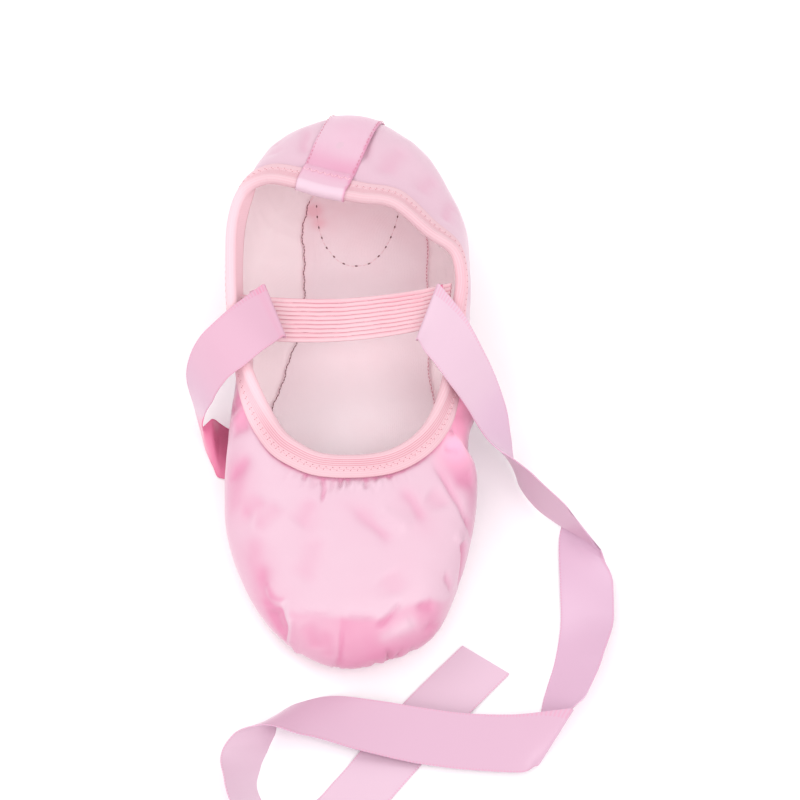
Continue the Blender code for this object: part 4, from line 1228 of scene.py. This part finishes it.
def insole_seams():
    """Lines overcast along both sides, and the line that holds the heel cushion."""
    y = np.linspace(-0.060, 0.090, 320)
    left, right = insole_edges(y)
    edges = [seam_line(x, y, insole_level(x, y) - 0.0001, 1.0)
             for x in (left + 0.0004, right - 0.0004)]
    stations = np.arange(len(HEEL_CUSHION), dtype=float)
    x, y = (along(stations, values, np.linspace(0.0, stations[-1], 120))
            for values in np.array(HEEL_CUSHION).T)
    return edges, [seam_line(x, y, insole_level(x, y) + 0.00005, 1.0)]


PAD_SEAM = 0.0024            # from a pad's edge in to its sewing channel
# A pad's section from underneath, over its edge, to its top: how far in from the edge, and z
PAD_SECTION = [(0.0036, 0.0), (0.0030, 0.00004), (PAD_SEAM, 0.00055), (0.0018, 0.00004),
               (0.0011, 0.0), (0.0004, 0.00025), (0.0, 0.0008), (0.0, 0.0015),
               (0.0005, PAD_THICKNESS)]
PAD_MIDDLE = 0.4             # share of the outline where the section's inner ends lie
PAD_COLUMNS = 120


def pad(name, outline, material):
    """Sole pad of sheet suede with a bevelled edge and a sewing channel underneath."""
    edge = around(np.array(outline), np.linspace(0.0, len(outline), PAD_COLUMNS, endpoint=False))
    centre = edge.mean(axis=0)
    radius = length(edge - centre).mean()
    section = [(PAD_MIDDLE, 0.0), *((1 - inward / radius, z) for inward, z in PAD_SECTION),
               (PAD_MIDDLE, PAD_THICKNESS)]
    rows = np.array([np.column_stack([centre + (edge - centre) * share, np.full(len(edge), z)])
                     for share, z in section])
    faces, _ = grid_faces(rows, ring=True)
    count, under = len(edge), rows[..., 0].size
    top = under - count
    caps = [face for j in range(count) for k in [(j + 1) % count]
            for face in ((k, j, under), (top + j, top + k, under + 1))]
    points = [*rows.reshape(-1, 3), (*centre, 0.0), (*centre, PAD_THICKNESS)]
    channel = centre + (np.vstack([edge, edge[:1]]) - centre) * (1 - PAD_SEAM / radius)
    return (new_piece(name, points, faces.tolist() + caps, [material]),
            seam_line(*channel.T, 0.0004, -1.0))


ARCH_SEAM_START, ARCH_SEAM_END = -0.0345, 0.0555
ARCH_SEAM_WIDTH = 0.0052
ARCH_SEAM_DROP = 0.00062     # how far its stitches lie below the hems


def arch_seam(material):
    """The satin's two hems are drawn together along the arch in one puckered seam."""
    y = np.linspace(ARCH_SEAM_START, ARCH_SEAM_END, 150)[:, None]
    across = np.linspace(0.5, -0.5, 13)
    pucker = 0.00018 * np.sin(y * 2100.0) * np.sin(y * 370.0)
    crown = 0.0007 * (1 - (2 * across) ** 2) - 0.0004 * peak(across, 0.08)
    z = HEM_LEVEL + arch(y) + 0.0001 - crown - pucker * (1 - 2 * abs(across))
    rows = np.stack(np.broadcast_arrays(across * ARCH_SEAM_WIDTH, y, z), -1)
    shade = 0.5 * peak(across, 0.10) * np.ones_like(y)
    return cloth("arch_seam", rows, material, 0.0006, marks={"shade": shade})


def arch_lines():
    y = np.linspace(ARCH_SEAM_START + 0.001, ARCH_SEAM_END - 0.001, 120)
    z = HEM_LEVEL + arch(y) + 0.0001 - ARCH_SEAM_DROP
    return [seam_line(x, y, z, -1.0) for x in (-0.0013, 0.0013)]


# -------------------------------------------------------------------------------------- ribbons

RIBBON_STEPS = 1100
RIBBON_ACROSS = 9
PALE_END = 0.300             # how far along the ribbon its painted tone turns paler, as painted light


def under_the_arch(used):
    """Rows for the ribbon's hidden length: passes across the arch, each folded on the last."""
    rows = []
    left = RIBBON_LENGTH - used
    x, y = UNDER_LEFT, UNDER_START
    heading, layer = 1, 0
    while left > 0.001:
        end = UNDER_RIGHT if heading > 0 else UNDER_LEFT
        run = min(abs(end - x), left)
        drift = UNDER_STEP * run / (UNDER_RIGHT - UNDER_LEFT)
        bearing = UNDER_BEARINGS[heading]
        x += heading * run
        y += drift
        left -= math.hypot(run, drift)
        rows.append((x, y, UNDER_LAYERS[layer], bearing, -180, 1))
        if left > 0.001:
            middle = sum(UNDER_LAYERS) / 2
            rows.append((x + heading * UNDER_TURN, y + UNDER_DRIFT[0], middle, 90, -180, 1))
            layer = 1 - layer
            rows.append((x, y + UNDER_DRIFT[1], UNDER_LAYERS[layer], bearing, -180, 1))
            left -= UNDER_FOLD_LENGTH
        heading = -heading
    return rows


def ribbon(name, route, node, materials, rosy):
    """A satin ribbon of its real length, laid along its route; its two edges run beside it.  It
    is painted deeper rose where rosy says, mostly as painted shade: from one distance along it to
    another, and how much."""
    table = np.array(route, float)
    stations = run_along(table[:, :3])
    places = np.unique(np.concatenate([np.linspace(0.0, stations[-1], RIBBON_STEPS), stations]))
    bearing, tip = np.radians(table[:, 3]), np.radians(table[:, 4])
    across = table[:, 5] * RIBBON_WIDTH / 2 * np.stack(
        [np.cos(tip) * np.cos(bearing), np.cos(tip) * np.sin(bearing), np.sin(tip)])
    middle, half = (np.stack([along(stations, values, places, FOLD_STEP) for values in axes], -1)
                    for axes in (table[:, :3].T, across))
    low = np.abs(half[:, 2]) + MODEL_THICKNESS / 2 + FLOOR_GAP
    middle[:, 2] = np.maximum(middle[:, 2], low)
    share = np.linspace(-1.0, 1.0, RIBBON_ACROSS)
    rows = middle + share[:, None, None] * half
    out = RIBBON_THICKNESS / 2 * unit(np.cross(np.gradient(middle, axis=0), half))
    # painted light and shade: the tone is paler high up by the collar and deeper low down, and is
    # painted paler again on the loop and tail beyond PALE_END
    tone = smoothstep((0.045 - rows[..., 2]) / 0.030)
    tone = tone * (1.0 - 0.9 * smoothstep((places - PALE_END) / 0.02))
    depth = sum(amount * smoothstep((places - start) / 0.006 + 0.5)
                * smoothstep((end - places) / 0.003 + 0.5) for start, end, amount in rosy)
    piece = two_faced(name, rows + out, rows - out, materials,
                      {"shade": tone, "rosy": depth + 0 * tone})
    wear(piece, "ribbon_satin", node)


# --------------------------------------------------------------------------- the scene around it

def camera():
    data = bpy.data.cameras.new("camera")
    data.lens = FOCAL_LENGTH
    data.sensor_width = 36.0
    data.clip_start, data.clip_end = 0.05, 20.0
    made = in_scene("camera", data)
    made.location = AIM + DISTANCE * Vector((0.0, -math.cos(ELEVATION), math.sin(ELEVATION)))
    made.rotation_euler = (math.pi / 2 - ELEVATION, 0.0, 0.0)
    bpy.context.scene.camera = made


def soft_light(name, place, aim, size, power):
    data = bpy.data.lights.new(name, "AREA")
    data.shape = "DISK"
    data.size = size
    data.energy = power
    made = in_scene(name, data)
    made.location = place
    made.rotation_mode = "QUATERNION"
    made.rotation_quaternion = (Vector(aim) - Vector(place)).to_track_quat("-Z", "Y")


def studio():
    scene = bpy.context.scene
    scene.view_settings.view_transform = "Standard"
    scene.world = bpy.data.worlds.new("studio")
    scene.world.use_nodes = True
    Graph(scene.world.node_tree).feed(scene.world.node_tree.nodes["Background"],
                                      {"Color": (1.0, 0.985, 0.99, 1.0), "Strength": WORLD_LIGHT})
    soft_light("key", (0.45, -0.75, 1.20), (0.0, 0.0, 0.0), 0.9, KEY_LIGHT)
    soft_light("top", (-0.70, 0.60, 1.10), (0.0, 0.0, 0.0), 0.7, TOP_LIGHT)
    soft_light("front", (-0.45, -1.20, 0.95), (0.0, 0.03, 0.02), 0.8, FRONT_LIGHT)
    paper = Finish("paper_floor", {"Specular IOR Level": 0.1, "Emission Strength": FLOOR_GLOW,
                                   "Emission Color": (1.0, 0.99, 0.99, 1.0)})
    tone = paper.grain(3.0)
    color = paper.mix(tone * 0.5, (0.93, 0.925, 0.93, 1.0), (0.90, 0.895, 0.905, 1.0))
    floor = new_piece("floor", [(-3, -3, 0), (3, -3, 0), (3, 3, 0), (-3, 3, 0)],
                      [(0, 1, 2, 3)], [paper.shows(color, 0.9 + 0.05 * tone)])


camera()
studio()
SEWN_ROW = sewn_row_tree()

ribbon_face = band_satin("ribbon_satin_face", dye(216, 184, 201), dye(211, 174, 197))
ribbon_back = band_satin("ribbon_satin_reverse", dye(212, 168, 188), dye(206, 167, 188))
# the left ribbon's face is a deeper copy of the right ribbon's face: painted shade
left_face_painted_shade = band_satin("left_ribbon_satin_painted_shade", dye(216, 170, 188), dye(212, 172, 194))
LEFT_ROUTE_LENGTH = float(length(np.diff([row[:3] for row in RIBBON_LEFT], axis=0)).sum())
# rosy paints deep rose shade on the right ribbon's first stretch by its fold and on the left
# ribbon where it lies down by the shoe, and a narrow deeper band by the left ribbon's fold
ribbon("ribbon_right_satin", RIBBON_RIGHT, "ribbon_right", (ribbon_face, ribbon_back),
       [(-0.020, 0.006, 0.8)])
ribbon("ribbon_left_satin", RIBBON_LEFT + under_the_arch(LEFT_ROUTE_LENGTH), "ribbon_left",
       (left_face_painted_shade, ribbon_back), [(0.012, 0.0150, 0.22), (0.069, 0.108, 0.8)])

# the clear bright pink of the painted light beside the elastic
painted_light_pink = dye(252, 178, 206)
pink_satin = satin("polished_satin", dye(216, 182, 197), dye(211, 137, 168), painted_light_pink)
tab_satin = satin("tab_satin", dye(222, 194, 208), dye(216, 146, 176), painted_light_pink)
cream_cotton = cotton("lining_cotton", dye(255, 244, 246), dye(250, 214, 222))
board_cloth = cotton("insole_cloth", dye(248, 235, 239), dye(244, 200, 209))
corded = elastic("binding_elastic", dye(222, 186, 194), dye(206, 120, 140), 0.0008)
strap_cord = elastic("strap_elastic", dye(230, 194, 201), dye(224, 122, 146), 0.002)
sole_suede = suede("sole_suede", dye(224, 190, 190), dye(196, 156, 158))
pale_thread = thread_finish("pale_pink_thread", dye(250, 205, 214))
rose_thread = thread_finish("rose_thread", dye(214, 130, 150))
brown_thread = thread_finish("brown_thread", dye(136, 92, 98))
needle_holes = thread_finish("needle_hole_shade", dye(196, 120, 130))

wear(satin_upper(pink_satin), "satin", "upper")
wear(lining(cream_cotton), "insole_cloth")
wear(binding(corded), "binding_elastic", "collar_binding")
wear(back_tab(tab_satin), "tab_satin", "back_tab")
wear(strap(strap_cord), "strap_elastic", "instep_strap")
wear(insole(board_cloth), "insole_cloth", "insole")
wear(arch_seam(pink_satin), "satin")
front_pad, front_line = pad("forefoot_suede", FOREFOOT_PAD, sole_suede)
back_pad, back_line = pad("heel_suede", HEEL_PAD, sole_suede)
wear(front_pad, "suede", "sole_forefoot")
wear(back_pad, "suede", "sole_heel")

# Stitches: pitch, length, thread and slant
face = BINDING_STAND + BINDING_THICKNESS / 2
sew("binding_zigzag", [seam_on_binding(BINDING_SEAM, face - 0.00006)], pale_thread,
    "binding_elastic", 0.0012, 0.0016, 0.00028, 0.62)
# the needle holes are dark dots of painted shade
sew("binding_needle_holes", [seam_on_binding(BINDING_SEAM - 0.0005, face - 0.00012),
                             seam_on_binding(BINDING_SEAM + 0.0005, face - 0.00012, 0.07)],
    needle_holes, "binding_elastic", 0.0024, 0.0005, 0.0005)
side_lines, cross_line = tab_seams()
sew("tab_side_stitches", side_lines, rose_thread, "tab_satin", 0.0021, 0.0013, 0.00026, 0.2)
sew("tab_cross_stitches", cross_line, pale_thread, "tab_satin", 0.0013, 0.0021, 0.0003, 0.9)
(left_line, right_line), cushion = insole_seams()
# the left overcast line is darker and thicker than the right: its brown thread's own colour, and
# painted shade of the crack along the insole's left edge
for name, lines, thread, *sizes in (
        ("insole_overcast_left", [left_line], brown_thread, 0.0014, 0.0016, 0.0004, 0.25),
        ("insole_overcast_right", [right_line], rose_thread, 0.0016, 0.0015, 0.0003, 0.25),
        ("heel_cushion_thread", cushion, pale_thread, 0.0022, 0.0020, 0.0002),
        ("heel_cushion_stitches", cushion, brown_thread, 0.0048, 0.0013, 0.0006)):
    sew(name, lines, thread, "insole_cloth", *sizes)
sew("sole_stitches", [front_line, back_line], pale_thread, "suede", 0.0034, 0.0026, 0.0005)
sew("arch_stitches", arch_lines(), rose_thread, "satin", 0.0028, 0.0020, 0.0004)
